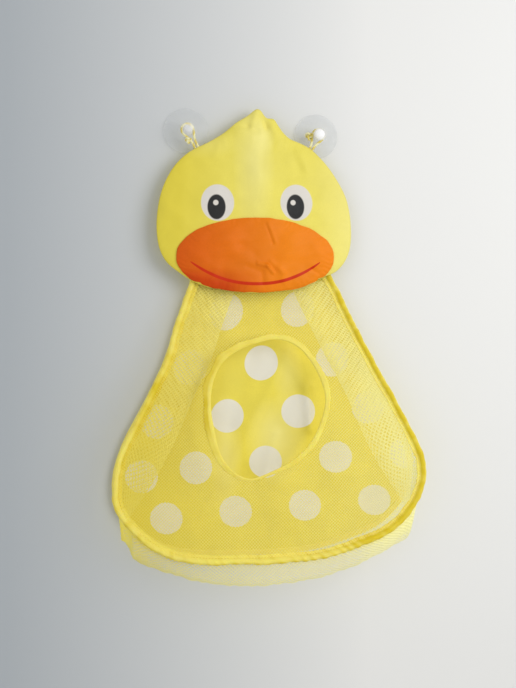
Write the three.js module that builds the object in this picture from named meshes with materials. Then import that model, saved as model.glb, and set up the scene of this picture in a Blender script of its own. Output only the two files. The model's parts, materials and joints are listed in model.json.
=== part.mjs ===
// A duck-shaped mesh bag that stores bath toys on a tiled wall.
// Two clear suction cups hold a padded head by a cord loop each. Below the neck hangs a pocket:
// an opaque back panel, a net front stretched in a spring-wire hoop with an egg-shaped mouth,
// and a folded net gusset that joins the two and forms the pocket's floor.
// Millimetres. The wall is the plane y = 0, the bag hangs in front of it towards -y, and +z is up.
// The origin lies on the wall, half way between the two suction cups.

import * as THREE from "three";
import { mergeVertices } from "three/addons/utils/BufferGeometryUtils.js";

// Clearances and cloth
const gap = 0.3;
const clothThickness = 0.8;
const netThickness = 0.8;
const coatedClothThickness = 1;

// Points nearer to each other than this are one point
const weld = 0.001;

// Suction cups
const cupSpacing = 131.4;
const cupHeightDifference = 2.2;
const cupDiameter = 45;
const cupLandWidth = 3;
const cupLipThickness = 1.2;
const cupHollowDepth = 3.6;
const cupDomeHeight = 8;
const cupShoulderDiameter = 14;
const cupShoulderHeight = 7.6;
const cupNeckDiameter = 8;
const cupNeckLength = 9;
const cupNeckFillet = 0.8;
const cupKnobDiameter = 13;
const cupKnobHeight = 7;

// Hanging loops
const loopCordDiameter = 2.4;
const loopStrandSpread = 3.4;
const loopClosingAngle = THREE.MathUtils.degToRad(7);
const loopFootInset = 8.6;
const loopFootDrop = 16.2;

// Head
const headWidth = 194;
const headHeight = 181.2;
const headTopHeight = 22.8;
const headCentreOffset = 1;
const headMiddleDrop = 108;
const headBackDish = 5;
const headFrontCrown = 8;
const headLean = 5.6;
const paddingInset = 5;
const paddingEase = 0.5;
const lipBelowNeck = 23.7;
const headBackAboveNeck = 4.1;
const paddingAboveNeck = 8.2;

// Beak
const beakWidth = 156.4;
const beakUpperHeight = 37.5;
const beakLowerHeight = 35.2;
const beakCentreDrop = 145.8;
const beakOffset = 0.8;
const beakPuff = 2.2;
const beakRise = 0.5;

// Bag outline, shared by the hoop and the back panel
const bagWidth = 303;
const bagHeight = 284.1;
const bagOffset = 13.65;
const hoopNeckDistance = 12.3;
const frontTilt = THREE.MathUtils.degToRad(8.2);

// Front hoop
const sleeveDiameter = 6;
const sleeveWall = 1;
const sleeveSlit = 1.8;
const sleeveGrip = 1.2;
const wireDiameter = 2.4;
const wireEndGap = 0.6;
const ferruleDiameter = 3.4;
const ferruleBore = 2.7;
const ferruleLength = 14;

// Mouth in the front net
const mouthWidth = 117;
const mouthHeight = 134.8;
const mouthOffset = 9.5;
const mouthDrop = 138.3;
const tapeWidth = 5;
const tapeThickness = 0.6;

// Openings in the front net, a coarse stand-in for its fine mesh
const netOpeningPitch = 25.6;
const netBarWidth = 4;
const netBorderWidth = 2.5;

// Back panel and gusset
const backDistance = 4;
const bindingWidth = 6;
const bindingThickness = 0.7;
const gussetWidth = 86;
const gussetStartDrop = 12;
const gussetSagStart = 120;
const gussetSagEnd = 238;
const neckTapeWidth = 100;
const neckTapeOffset = 10;
const neckTapeHeight = 4.4;

// How finely the curved pieces are cut
const cupSides = 24;
const cordSides = 8;
const loopArcSteps = 10;
const beakSamples = 48;
const stepsBetweenPoints = 2;
const sleeveOuterSteps = 7;
const sleeveInnerSteps = 5;

// Sizes of the front net's openings, the largest that fits at its place being cut
const openingShares = [1, 0.84, 0.68, 0.52, 0.38];

// Form of a moulded cup: shares of the radius and of the height at the points of its hollow,
// of its dome and of its knob, each from the wall outwards.
const hollowShares = [[0, 1], [0.4, 0.88], [0.75, 0.48], [1, 0]];
const domeShares = [[0.74, 0.46], [0.5, 0.74]];
const knobShares = [[0.94, 0.12], [1, 0.35], [0.86, 0.72], [0.5, 0.95], [0, 1]];

// Where the strands of a loop bend, from the cup's neck to the head's edge
const strandShares = [0.76, 1];

// Rings of the head and of the beak, from the middle to the edge, and how round they swell
const headRingShares = [0, 0.38, 0.66, 0.86, 1];
const headCrownExponent = 2.2;
const beakRingShares = [0, 0.4, 0.7, 0.9, 1];
const beakPuffExponent = 4;

// Places across the gusset from the hoop to the back panel, how sharply it is folded at the sides
// and under the bag, and how deep it hangs under the bag beside its depth at the sides.
const gussetSectionShares = [0, 0.2, 0.38, 0.46, 0.54, 0.62, 0.8, 1];
const sideFoldExponent = 1.25;
const floorFoldExponent = 2.4;
const floorDepthShare = 0.78;

// Outline of the head from the tuft's tip down its left side and round to the tip again:
// shares of the half width from the centre line, and of the height from the tip downwards.
const headOutlineShares = [
  [0.036, 0], [-0.065, 0.036], [-0.204, 0.085], [-0.307, 0.132], [-0.47, 0.187], [-0.663, 0.241],
  [-0.8, 0.308], [-0.9, 0.392], [-0.965, 0.488], [-0.995, 0.59], [-0.997, 0.685], [-0.965, 0.775],
  [-0.895, 0.84], [-0.79, 0.887], [-0.672, 0.929], [-0.54, 0.962], [-0.345, 0.984], [-0.02, 1],
  [0.31, 0.985], [0.52, 0.958], [0.68, 0.917], [0.83, 0.885], [0.925, 0.833], [0.982, 0.762],
  [0.999, 0.67], [0.985, 0.565], [0.945, 0.475], [0.864, 0.39], [0.764, 0.312], [0.652, 0.246],
  [0.55, 0.203], [0.45, 0.178], [0.36, 0.158], [0.285, 0.12], [0.232, 0.079], [0.195, 0.053],
  [0.125, 0.048],
];

// Outline of the bag along the hoop's wire, from the neck's bar down the left side and round:
// shares of the half width from the centre line, and of the height from the neck downwards.
const bagOutlineShares = [
  [-0.19, 0], [-0.407, 0], [-0.45, 0.007], [-0.471, 0.025], [-0.503, 0.07], [-0.534, 0.112],
  [-0.594, 0.201], [-0.672, 0.327], [-0.796, 0.464], [-0.915, 0.583], [-0.973, 0.661],
  [-0.999, 0.733], [-0.988, 0.805], [-0.935, 0.858], [-0.823, 0.92], [-0.67, 0.97],
  [-0.51, 0.991], [-0.25, 0.999], [0, 1], [0.25, 0.993], [0.42, 0.976], [0.58, 0.95],
  [0.755, 0.912], [0.895, 0.847], [0.97, 0.783], [0.999, 0.728], [0.992, 0.66], [0.943, 0.595],
  [0.812, 0.457], [0.68, 0.322], [0.548, 0.182], [0.455, 0.073], [0.422, 0.035], [0.397, 0.01],
  [0.35, 0], [0.12, 0],
];

// Outline of the mouth: shares of its half width and half height from its middle.
const mouthOutlineShares = [
  [0.16, 1], [-0.16, 0.95], [-0.46, 0.87], [-0.753, 0.7], [-0.95, 0.38], [-1, 0.043],
  [-0.932, -0.318], [-0.79, -0.7], [-0.6, -0.895], [-0.323, -1], [-0.06, -0.945],
  [0.2, -0.85], [0.5, -0.69], [0.75, -0.47], [0.93, -0.157], [1, 0.12], [0.92, 0.42],
  [0.754, 0.693], [0.48, 0.925],
];

const colours = {
  clearVinyl: 0xdfe6e8,
  yellowCloth: 0xe6d85f,
  yellowNet: 0xe9dc72,
  goldBinding: 0xecd64a,
  orangeCloth: 0xf07f2a,
  whiteFoam: 0xf2efe6,
  springSteel: 0x8d9094,
};

// Builds one closed body from rings of points. Every ring has the same number of points and closes on
// itself. Neighbouring rings are joined by quads, the last ring joins the first if the body is a loop,
// and a capped body gets a strip of quads across its first and its last ring.
function loft(rings, { looped = false, capped = false } = {}) {
  const triangles = [];
  const addTriangle = (a, b, c) => {
    if (Math.min(a.distanceTo(b), b.distanceTo(c), c.distanceTo(a)) > weld) triangles.push(a, b, c);
  };
  const addQuad = (a, b, c, d) => {
    addTriangle(a, b, c);
    addTriangle(a, c, d);
  };
  const spans = looped ? rings.length : rings.length - 1;
  for (let j = 0; j < spans; j++) {
    const ring = rings[j];
    const next = rings[(j + 1) % rings.length];
    for (let i = 0; i < ring.length; i++) {
      const k = (i + 1) % ring.length;
      addQuad(ring[i], ring[k], next[k], next[i]);
    }
  }
  if (capped) {
    const first = rings[0];
    const last = rings[rings.length - 1];
    const count = first.length;
    for (let i = 0; i < count / 2 - 1; i++) {
      addQuad(first[i + 1], first[i], first[count - 1 - i], first[count - 2 - i]);
      addQuad(last[i], last[i + 1], last[count - 2 - i], last[count - 1 - i]);
    }
  }
  const geometry = new THREE.BufferGeometry().setFromPoints(triangles);
  return outward(mergeVertices(geometry));
}

// Turns every triangle round if the body's signed volume says that its faces point inwards.
function outward(geometry) {
  const place = geometry.getAttribute("position");
  const index = geometry.getIndex();
  const corners = [new THREE.Vector3(), new THREE.Vector3(), new THREE.Vector3()];
  let volume = 0;
  for (let i = 0; i < index.count; i += 3) {
    corners.forEach((corner, k) => corner.fromBufferAttribute(place, index.getX(i + k)));
    volume += corners[0].dot(corners[1].clone().cross(corners[2]));
  }
  if (volume < 0) {
    for (let i = 0; i < index.count; i += 3) {
      const second = index.getX(i + 1);
      index.setX(i + 1, index.getX(i + 2));
      index.setX(i + 2, second);
    }
  }
  geometry.computeVertexNormals();
  return geometry;
}

// A closed smooth curve through points in a plane.
function closedCurve(points) {
  const places = points.map(([x, y]) => new THREE.Vector3(x, y, 0));
  return new THREE.CatmullRomCurve3(places, true, "centripetal");
}

// Points along a closed plane curve, a few for each of its chosen points, so that they lie closer
// together where the outline bends. Each has the direction that leaves the outline: the outline runs
// anticlockwise, so the tangent turned a quarter clockwise points outwards.
function sampleOutline(curve) {
  const count = curve.points.length * stepsBetweenPoints;
  return Array.from({ length: count }, (_, i) => {
    const place = curve.getPoint(i / count);
    const along = curve.getTangent(i / count);
    return { place, along, outwards: new THREE.Vector3(along.y, -along.x, 0).normalize() };
  });
}

// The outline moved outwards by a distance, as plain points.
function offsetOutline(samples, distance) {
  return samples.map(({ place, outwards }) => place.clone().addScaledVector(outwards, distance));
}

// A flat sheet with an outline and holes, from height 0 to its thickness.
function flatSheet(outline, holes, thickness) {
  const shape = new THREE.Shape(outline.map((p) => new THREE.Vector2(p.x, p.y)));
  shape.holes = holes.map((hole) => new THREE.Path(hole.map((p) => new THREE.Vector2(p.x, p.y))));
  const geometry = new THREE.ExtrudeGeometry(shape, { depth: thickness, bevelEnabled: false, steps: 1 });
  geometry.deleteAttribute("normal");
  geometry.deleteAttribute("uv");
  return outward(mergeVertices(geometry));
}

// A section carried along an outline. Each point of the section is [outwards, height].
function sweepSection(samples, section, options) {
  const rings = samples.map(({ place, outwards }) =>
    section.map(([out, height]) =>
      place.clone().addScaledVector(outwards, out).add(new THREE.Vector3(0, 0, height))));
  return loft(rings, options);
}

// A sheet of cloth on a grid of points, whose rows run across the sheet. Its two faces lie half a
// thickness to either side of the grid, along the normal worked out from each point's neighbours.
function clothSheet(rows, thickness) {
  const clamped = (list, i) => list[THREE.MathUtils.clamp(i, 0, list.length - 1)];
  const normal = (j, i) => {
    const along = clamped(rows, j + 1)[i].clone().sub(clamped(rows, j - 1)[i]);
    const across = clamped(rows[j], i + 1).clone().sub(clamped(rows[j], i - 1));
    return along.cross(across).normalize();
  };
  const rings = rows.map((row, j) => {
    const face = (side) => row.map((point, i) =>
      point.clone().addScaledVector(normal(j, i), side * thickness / 2));
    return [...face(1), ...face(-1).reverse()];
  });
  return loft(rings, { capped: true });
}

// A round section as points [outwards, height].
function roundSection(radius, sides) {
  return Array.from({ length: sides }, (_, i) => {
    const angle = (2 * Math.PI * i) / sides;
    return [radius * Math.cos(angle), radius * Math.sin(angle)];
  });
}

// A folded tape in section: a U whose open side faces outwards (side 1) or inwards (side -1).
// Its closed end lies at reach 0 and its legs are as long as the width.
function foldedTapeSection(width, innerGap, wall, side) {
  const outer = innerGap / 2 + wall;
  const inner = innerGap / 2;
  return [
    [0, -outer], [0, outer], [side * width, outer], [side * width, inner],
    [side * wall, inner], [side * wall, -inner], [side * width, -inner], [side * width, -outer],
  ];
}

const smoothStep = (value, start, end) => THREE.MathUtils.smoothstep(value, start, end);

function namedMesh(name, geometry, colour, roughness, metalness = 0, opacity = 1) {
  const material = new THREE.MeshStandardMaterial({
    color: colour, roughness, metalness, opacity, transparent: opacity < 1,
  });
  const mesh = new THREE.Mesh(geometry, material);
  mesh.name = name;
  return mesh;
}

// Suction cups

const cupRadius = cupDiameter / 2;
const neckRadius = cupNeckDiameter / 2;
const knobRadius = cupKnobDiameter / 2;
const cupNeckEnd = cupDomeHeight + cupNeckLength;
const hangDistance = cupDomeHeight + cupNeckLength / 2;

// One moulded cup: a thin lip with a flat land on the wall, a hollow dome, a neck and a mushroom knob.
// The profile runs from the hollow's middle outwards and back to the knob's top. Its height is
// measured from the wall, and the lathe's axis is the row's y axis.
function cupGeometry() {
  const shoulderRadius = cupShoulderDiameter / 2;
  const hollowRadius = cupRadius - cupLandWidth;
  const profile = [
    ...hollowShares.map(([across, up]) => [hollowRadius * across, cupHollowDepth * up]),
    [cupRadius, 0],
    [cupRadius, cupLipThickness],
    ...domeShares.map(([across, up]) => [cupRadius * across, cupDomeHeight * up]),
    [shoulderRadius, cupShoulderHeight],
    [neckRadius + cupNeckFillet, cupDomeHeight],
    [neckRadius, cupDomeHeight + cupNeckFillet],
    [neckRadius, cupNeckEnd - cupNeckFillet],
    [neckRadius + cupNeckFillet, cupNeckEnd],
    ...knobShares.map(([across, up]) => [knobRadius * across, cupNeckEnd + cupKnobHeight * up]),
  ];
  const points = profile.map(([radius, height]) => new THREE.Vector2(radius, -height));
  const geometry = new THREE.LatheGeometry(points, cupSides);
  geometry.deleteAttribute("normal");
  geometry.deleteAttribute("uv");
  return outward(mergeVertices(geometry));
}

function cupPlace(side) {
  return new THREE.Vector3(side * cupSpacing / 2, 0, -side * cupHeightDifference / 2);
}

function suctionCup(name, side) {
  const cup = namedMesh(name, cupGeometry(), colours.clearVinyl, 0.15, 0, 0.5);
  cup.position.copy(cupPlace(side));
  return cup;
}

// Hanging loops

// A cord that rises from the head's seam, passes over the cup's neck and comes down again.
// Each strand runs straight from the arc over the neck to the head's edge.
function hangingLoop(name, side) {
  const cordRadius = loopCordDiameter / 2;
  const arcRadius = neckRadius + gap + cordRadius;
  const centre = cupPlace(side);
  const towardsFoot = new THREE.Vector2(-side * loopFootInset, -loopFootDrop).normalize();
  const across = new THREE.Vector2(-towardsFoot.y, towardsFoot.x);
  const onLoop = (along, sideways) => new THREE.Vector2(centre.x, centre.z)
    .addScaledVector(towardsFoot, along).addScaledVector(across, sideways);
  const strandEnd = (sideways) => Math.min(...[-cordRadius, 0, cordRadius].map((edge) =>
    headEdgeDistance(onLoop(0, sideways + edge), towardsFoot))) - gap;
  const strand = (sideways) => strandShares.map((share) =>
    onLoop(strandEnd(sideways) * share, sideways));
  const half = loopStrandSpread / 2;
  const arc = Array.from({ length: loopArcSteps + 1 }, (_, i) => {
    const angle = -loopClosingAngle + (Math.PI + 2 * loopClosingAngle) * (i / loopArcSteps);
    return onLoop(-arcRadius * Math.sin(angle), -arcRadius * Math.cos(angle));
  });
  const points = [...strand(-half).reverse(), ...arc, ...strand(half)]
    .map((p) => new THREE.Vector3(p.x, -hangDistance, p.y));
  return namedMesh(name, cordGeometry(points, cordRadius), colours.yellowCloth, 0.8);
}

// A round cord along points that lie in a plane of constant y.
function cordGeometry(points, radius) {
  const curve = new THREE.CatmullRomCurve3(points, false, "centripetal");
  const rings = Array.from({ length: points.length * 2 }, (_, j, last = points.length * 2 - 1) => {
    const place = curve.getPointAt(j / last);
    const along = curve.getTangentAt(j / last);
    const outwards = new THREE.Vector3(along.z, 0, -along.x).normalize();
    return roundSection(radius, cordSides).map(([out, height]) =>
      place.clone().addScaledVector(outwards, out).add(new THREE.Vector3(0, height, 0)));
  });
  return loft(rings, { capped: true });
}

// Head

const headCurve = closedCurve(headOutlineShares.map(([across, down]) =>
  [headCentreOffset + across * headWidth / 2, headTopHeight - down * headHeight]));
const headOutline = sampleOutline(headCurve).map(({ place }) => place);
const headMiddle = new THREE.Vector2(headCentreOffset, headTopHeight - headMiddleDrop);

// The bag hangs from the head's back at the neck, hidden behind the head's lower lip.
const neckDrop = headHeight - lipBelowNeck;

// Distance of the head's seam from the wall at a height. The neck's hoop bar lies behind the head's
// lower lip and holds it away from the wall, so the head leans forward.
function seamDistance(height) {
  return hangDistance + headLean * (headTopHeight - height) / headHeight;
}

// How far the head's surface has risen from the seam, from 0 at the outline to 1 in the middle.
const crownShare = (share) => 1 - share ** headCrownExponent;

// Distances from the wall at a height, for a point on the outline shrunk to a share:
// the outer face of the front cloth, and the face of the back cloth that looks at the wall.
function headFrontDistance(share, height) {
  const edge = seamDistance(height) + gap / 2 + clothThickness;
  return edge + headFrontCrown * crownShare(share);
}

function headBackDistance(share, height) {
  const edge = seamDistance(height) - gap / 2 - clothThickness;
  return edge - headBackDish * crownShare(share);
}

// Distance from a point in front of the wall to the head's outline, along a direction.
function headEdgeDistance(origin, direction) {
  const distances = headOutline.map((a, i) => {
    const b = headOutline[(i + 1) % headOutline.length];
    const side = new THREE.Vector2(b.x - a.x, b.y - a.y);
    const toStart = new THREE.Vector2(a.x, a.y).sub(origin);
    const spread = direction.cross(side);
    const along = toStart.cross(side) / spread;
    const onSide = toStart.cross(direction) / spread;
    return along > 0 && onSide >= 0 && onSide <= 1 ? along : Infinity;
  });
  return Math.min(...distances);
}

// The outline's share at any point of the head, found along the ray from its middle.
function headShareAt(x, z) {
  const arm = new THREE.Vector2(x - headMiddle.x, z - headMiddle.y);
  const reach = arm.length();
  return reach > weld ? reach / headEdgeDistance(headMiddle, arm.divideScalar(reach)) : 0;
}

// A body whose rings are the head's outline shrunk towards its middle. Each step of the profile is
// [share, distance from the wall as a function of share and height]. The outline is cut off straight
// at the bottom, and drawn in all round by the inset.
function headBody(profile, bottom, inset) {
  const rings = profile.map(([share, distance]) => headOutline.map((point) => {
    const arm = new THREE.Vector2(point.x - headMiddle.x, point.y - headMiddle.y);
    const cut = point.y < bottom ? (bottom - headMiddle.y) / arm.y : 1;
    const scaled = share * Math.min(cut, 1 - inset / arm.length());
    const z = headMiddle.y + arm.y * scaled;
    return new THREE.Vector3(headMiddle.x + arm.x * scaled, -distance(scaled, z), z);
  }));
  return loft(rings);
}

// A sheet of the head, from one face in the middle out to the edge and back along the other face.
function headSheet(front, back, bottom, inset) {
  const profile = [
    ...headRingShares.map((share) => [share, front]),
    ...[...headRingShares].reverse().map((share) => [share, back]),
  ];
  return headBody(profile, headTopHeight - bottom, inset);
}

function headFrontPanel() {
  const inner = (share, height) => headFrontDistance(share, height) - clothThickness;
  const sheet = headSheet(headFrontDistance, inner, headHeight + clothThickness, 0);
  return namedMesh("head_front_panel", sheet, colours.yellowCloth, 0.75);
}

function headBackPanel() {
  const inner = (share, height) => headBackDistance(share, height) + clothThickness;
  const sheet = headSheet(headBackDistance, inner, neckDrop - headBackAboveNeck, 0);
  return namedMesh("head_back_panel", sheet, colours.yellowCloth, 0.8);
}

function headPadding() {
  const cover = clothThickness + paddingEase;
  const front = (share, height) => headFrontDistance(share, height) - cover;
  const back = (share, height) => headBackDistance(share, height) + cover;
  const pad = headSheet(front, back, neckDrop - paddingAboveNeck, paddingInset);
  return namedMesh("head_padding", pad, colours.whiteFoam, 0.95);
}

// The orange beak lies on the head's front cloth. Its outline is half an ellipse above its widest
// line and half a deeper or shallower one below it, and it is puffed a little in the middle.
function beakPanel() {
  const centre = new THREE.Vector2(beakOffset, headTopHeight - beakCentreDrop);
  const ring = (share, raise) => Array.from({ length: beakSamples }, (_, i) => {
    const angle = (2 * Math.PI * i) / beakSamples;
    const reach = Math.sin(angle) > 0 ? beakUpperHeight : beakLowerHeight;
    const x = centre.x + share * Math.cos(angle) * beakWidth / 2;
    const z = centre.y + share * Math.sin(angle) * reach;
    return new THREE.Vector3(x, -(headFrontDistance(headShareAt(x, z), z) + raise), z);
  });
  const outside = (share) =>
    beakRise + clothThickness + beakPuff * (1 - share ** beakPuffExponent);
  const rings = [
    ...beakRingShares.map((share) => ring(share, outside(share))),
    ...[...beakRingShares].reverse().map((share) => ring(share, beakRise)),
  ];
  return namedMesh("beak_panel", loft(rings), colours.orangeCloth, 0.55);
}

// Bag outline

const bagCurve = closedCurve(bagOutlineShares.map(([across, down]) =>
  [bagOffset + across * bagWidth / 2, -down * bagHeight]));
const neckHeight = headTopHeight - neckDrop;

// The front hoop's plane: x to the right, y up along the net, z away from the wall.
const frontFrame = new THREE.Group();
frontFrame.position.set(0, -hoopNeckDistance, neckHeight);
frontFrame.rotation.x = Math.PI / 2 - frontTilt;
frontFrame.updateMatrixWorld(true);

// The back panel's plane, with the same axes but upright.
const backFrame = new THREE.Group();
backFrame.position.set(0, -backDistance, neckHeight);
backFrame.rotation.x = Math.PI / 2;
backFrame.updateMatrixWorld(true);

// Front of the bag

const sleeveRadius = sleeveDiameter / 2;
const sleeveBoreRadius = sleeveRadius - sleeveWall;

const bagSamples = sampleOutline(bagCurve);

// The binding sleeve is a tube with a slit that faces inwards, where the net's edge enters it.
function hoopSleeve() {
  const arc = (radius, steps) => {
    const halfAngle = Math.asin(sleeveSlit / 2 / radius);
    return Array.from({ length: steps + 1 }, (_, i) => {
      const angle = halfAngle + (2 * Math.PI - 2 * halfAngle) * (i / steps);
      return [-radius * Math.cos(angle), radius * Math.sin(angle)];
    });
  };
  const section = [
    ...arc(sleeveRadius, sleeveOuterSteps),
    ...arc(sleeveBoreRadius, sleeveInnerSteps).reverse(),
  ];
  return namedMesh("front_hoop_sleeve", sweepSection(bagSamples, section, { looped: true }),
    colours.goldBinding, 0.7);
}

// The wire's two ends meet at the lowest point of the hoop, inside the ferrule.
const jointIndex = bagSamples.reduce((best, { place }, i) =>
  place.y < bagSamples[best].place.y ? i : best, 0);
const sampleFromJoint = (steps) =>
  bagSamples[(jointIndex + steps + bagSamples.length) % bagSamples.length];

function hoopWire() {
  const samples = Array.from({ length: bagSamples.length + 1 }, (_, i) => sampleFromJoint(i));
  const trimmed = samples.map(({ place, along, outwards }, i) => {
    const trim = i === 0 ? wireEndGap / 2 : i === bagSamples.length ? -wireEndGap / 2 : 0;
    return { place: place.clone().addScaledVector(along, trim), outwards };
  });
  return namedMesh("front_hoop_wire", sweepSection(trimmed, roundSection(wireDiameter / 2, cordSides),
    { capped: true }), colours.springSteel, 0.35, 0.9);
}

// A crimped tube round the wire's two ends: for each direction round the wire, a ring runs along the
// tube's outside and back along its bore.
function wireFerrule() {
  const middle = sampleFromJoint(0);
  const towards = (sample) => {
    const share = ferruleLength / 2 / middle.place.distanceTo(sample.place);
    return {
      place: middle.place.clone().lerp(sample.place, share),
      outwards: middle.outwards.clone().lerp(sample.outwards, share).normalize(),
    };
  };
  const samples = [towards(sampleFromJoint(-1)), middle, towards(sampleFromJoint(1))];
  const at = ({ place, outwards }, radius, angle) => place.clone()
    .addScaledVector(outwards, radius * Math.cos(angle))
    .add(new THREE.Vector3(0, 0, radius * Math.sin(angle)));
  const rings = Array.from({ length: cordSides }, (_, i) => {
    const angle = (2 * Math.PI * i) / cordSides;
    return [
      ...samples.map((sample) => at(sample, ferruleDiameter / 2, angle)),
      ...[...samples].reverse().map((sample) => at(sample, ferruleBore / 2, angle)),
    ];
  });
  return namedMesh("hoop_wire_ferrule", loft(rings, { looped: true }), colours.springSteel, 0.45, 0.8);
}

const mouthCurve = closedCurve(mouthOutlineShares.map(([across, up]) =>
  [mouthOffset + across * mouthWidth / 2, -mouthDrop + up * mouthHeight / 2]));

const mouthSamples = sampleOutline(mouthCurve);

// Whether a point lies inside a closed outline: a line to its right crosses it an odd number of times.
function isInside(point, outline) {
  return outline.reduce((inside, a, i) => {
    const b = outline[(i + 1) % outline.length];
    const spans = a.y > point.y !== b.y > point.y;
    const crossing = a.x + (point.y - a.y) * (b.x - a.x) / (b.y - a.y);
    return spans && point.x < crossing ? !inside : inside;
  }, false);
}

// Diamond openings in staggered rows between the sleeve and the mouth's tape. An opening that
// doesn't fit beside them is cut smaller about the same middle, or left out.
function netOpenings() {
  const outer = offsetOutline(bagSamples, -sleeveRadius - netBorderWidth);
  const inner = offsetOutline(mouthSamples, tapeWidth + netBorderWidth);
  const half = netOpeningPitch / 2;
  const reach = half - netBarWidth / Math.SQRT2;
  const columns = Math.ceil(bagWidth / netOpeningPitch);
  const rows = Math.ceil(bagHeight / half);
  const diamond = (x, y, size) => [[1, 0], [0, 1], [-1, 0], [0, -1]].map(([across, up]) =>
    new THREE.Vector3(x + across * size, y + up * size, 0));
  const fits = (corners) => corners.every((corner, i) => {
    const between = corner.clone().lerp(corners[(i + 1) % corners.length], 1 / 2);
    return [corner, between].every((point) => isInside(point, outer) && !isInside(point, inner));
  });
  const openings = [];
  for (let row = 0; row <= rows; row++) {
    for (let column = -columns; column <= columns; column++) {
      const x = bagOffset + column * netOpeningPitch + (row % 2) * half;
      const candidates = openingShares.map((share) => diamond(x, -row * half, reach * share));
      const opening = candidates.find(fits);
      if (opening) openings.push(opening);
    }
  }
  return openings;
}

function frontNetPanel() {
  const edge = offsetOutline(bagSamples, sleeveGrip - sleeveRadius);
  const hole = offsetOutline(mouthSamples, tapeThickness + gap);
  const sheet = namedMesh("front_net_panel", flatSheet(edge, [hole, ...netOpenings()], netThickness),
    colours.yellowNet, 0.8, 0, 0.55);
  sheet.position.z = -netThickness / 2;
  return sheet;
}

function mouthBinding() {
  const section = foldedTapeSection(tapeWidth, netThickness + 2 * gap, tapeThickness, 1);
  return namedMesh("mouth_binding", sweepSection(mouthSamples, section, { looped: true }),
    colours.goldBinding, 0.7);
}

// Back of the bag

function backPanel() {
  const edge = offsetOutline(bagSamples, 0);
  return namedMesh("back_panel", flatSheet(edge, [], coatedClothThickness), colours.yellowCloth, 0.6);
}

const bindingHalfThickness = coatedClothThickness / 2 + gap + bindingThickness;

function backBinding() {
  const section = foldedTapeSection(bindingWidth, coatedClothThickness + 2 * gap, bindingThickness, -1)
    .map(([out, height]) => [out + gap + bindingThickness, height]);
  const binding = namedMesh("back_seam_binding", sweepSection(bagSamples, section, { looped: true }),
    colours.goldBinding, 0.7);
  binding.position.z = coatedClothThickness / 2;
  return binding;
}

// The gusset is one net strip from the hoop to the back panel's edge. High at the sides it is folded
// inwards in a V. Lower down the fold sags, and from the lower corners on it hangs below the bag in a U.
function gussetNet() {
  const samples = bagSamples.filter(({ place }) => -place.y > gussetStartDrop);
  const frontReach = sleeveRadius + gap + netThickness / 2;
  const backReach = coatedClothThickness / 2 + bindingHalfThickness + gap + netThickness / 2;
  const rows = samples.map(({ place }) => {
    const front = frontFrame.localToWorld(new THREE.Vector3(place.x, place.y, -frontReach));
    const back = backFrame.localToWorld(new THREE.Vector3(place.x, place.y, backReach));
    const sag = smoothStep(-place.y, gussetSagStart, gussetSagEnd) * Math.PI / 2;
    const inwards = place.x < bagOffset ? 1 : -1;
    const direction = new THREE.Vector3(inwards * Math.cos(sag), 0, -Math.sin(sag));
    const floor = smoothStep(-place.y, gussetSagEnd, bagHeight);
    const foldDepth = Math.sqrt((gussetWidth / 2) ** 2 - front.distanceToSquared(back) / 4);
    const depth = foldDepth * THREE.MathUtils.lerp(1, floorDepthShare, floor);
    const exponent = THREE.MathUtils.lerp(sideFoldExponent, floorFoldExponent, floor);
    return gussetSectionShares.map((share) => front.clone().lerp(back, share)
      .addScaledVector(direction, depth * (1 - Math.abs(2 * share - 1) ** exponent)));
  });
  return namedMesh("gusset_net", clothSheet(rows, netThickness), colours.yellowNet, 0.8, 0, 0.55);
}

// A folded tape across the neck joins the head's back, the back panel and the hoop's sleeve.
function neckTape() {
  const wallSide = backDistance + coatedClothThickness / 2 + bindingHalfThickness + gap;
  const roomSide = hoopNeckDistance - sleeveRadius - gap;
  const tape = namedMesh("neck_tape",
    new THREE.BoxGeometry(neckTapeWidth, roomSide - wallSide, neckTapeHeight), colours.goldBinding, 0.7);
  tape.position.set(neckTapeOffset, -(wallSide + roomSide) / 2, neckHeight);
  return tape;
}

// Assembly

const bag = new THREE.Group();
bag.name = "toy_storage_bag";
bag.add(suctionCup("left_suction_cup", -1), suctionCup("right_suction_cup", 1));
bag.add(hangingLoop("left_hanging_loop", -1), hangingLoop("right_hanging_loop", 1));
bag.add(headFrontPanel(), headPadding(), headBackPanel(), beakPanel());
frontFrame.add(hoopSleeve(), hoopWire(), wireFerrule(), frontNetPanel(), mouthBinding());
backFrame.add(backPanel(), backBinding());
bag.add(frontFrame, backFrame, gussetNet(), neckTape());

export default bag;
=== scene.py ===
"""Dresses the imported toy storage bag: clear suction cups, a padded duck's head with an orange beak,
and a net bag in a spring hoop with a dotted back panel, a bound mouth and a sagging net gusset.

Every visible piece is a surface worked out with numpy on a grid, in metres, in the frame's own place.
"""

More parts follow.
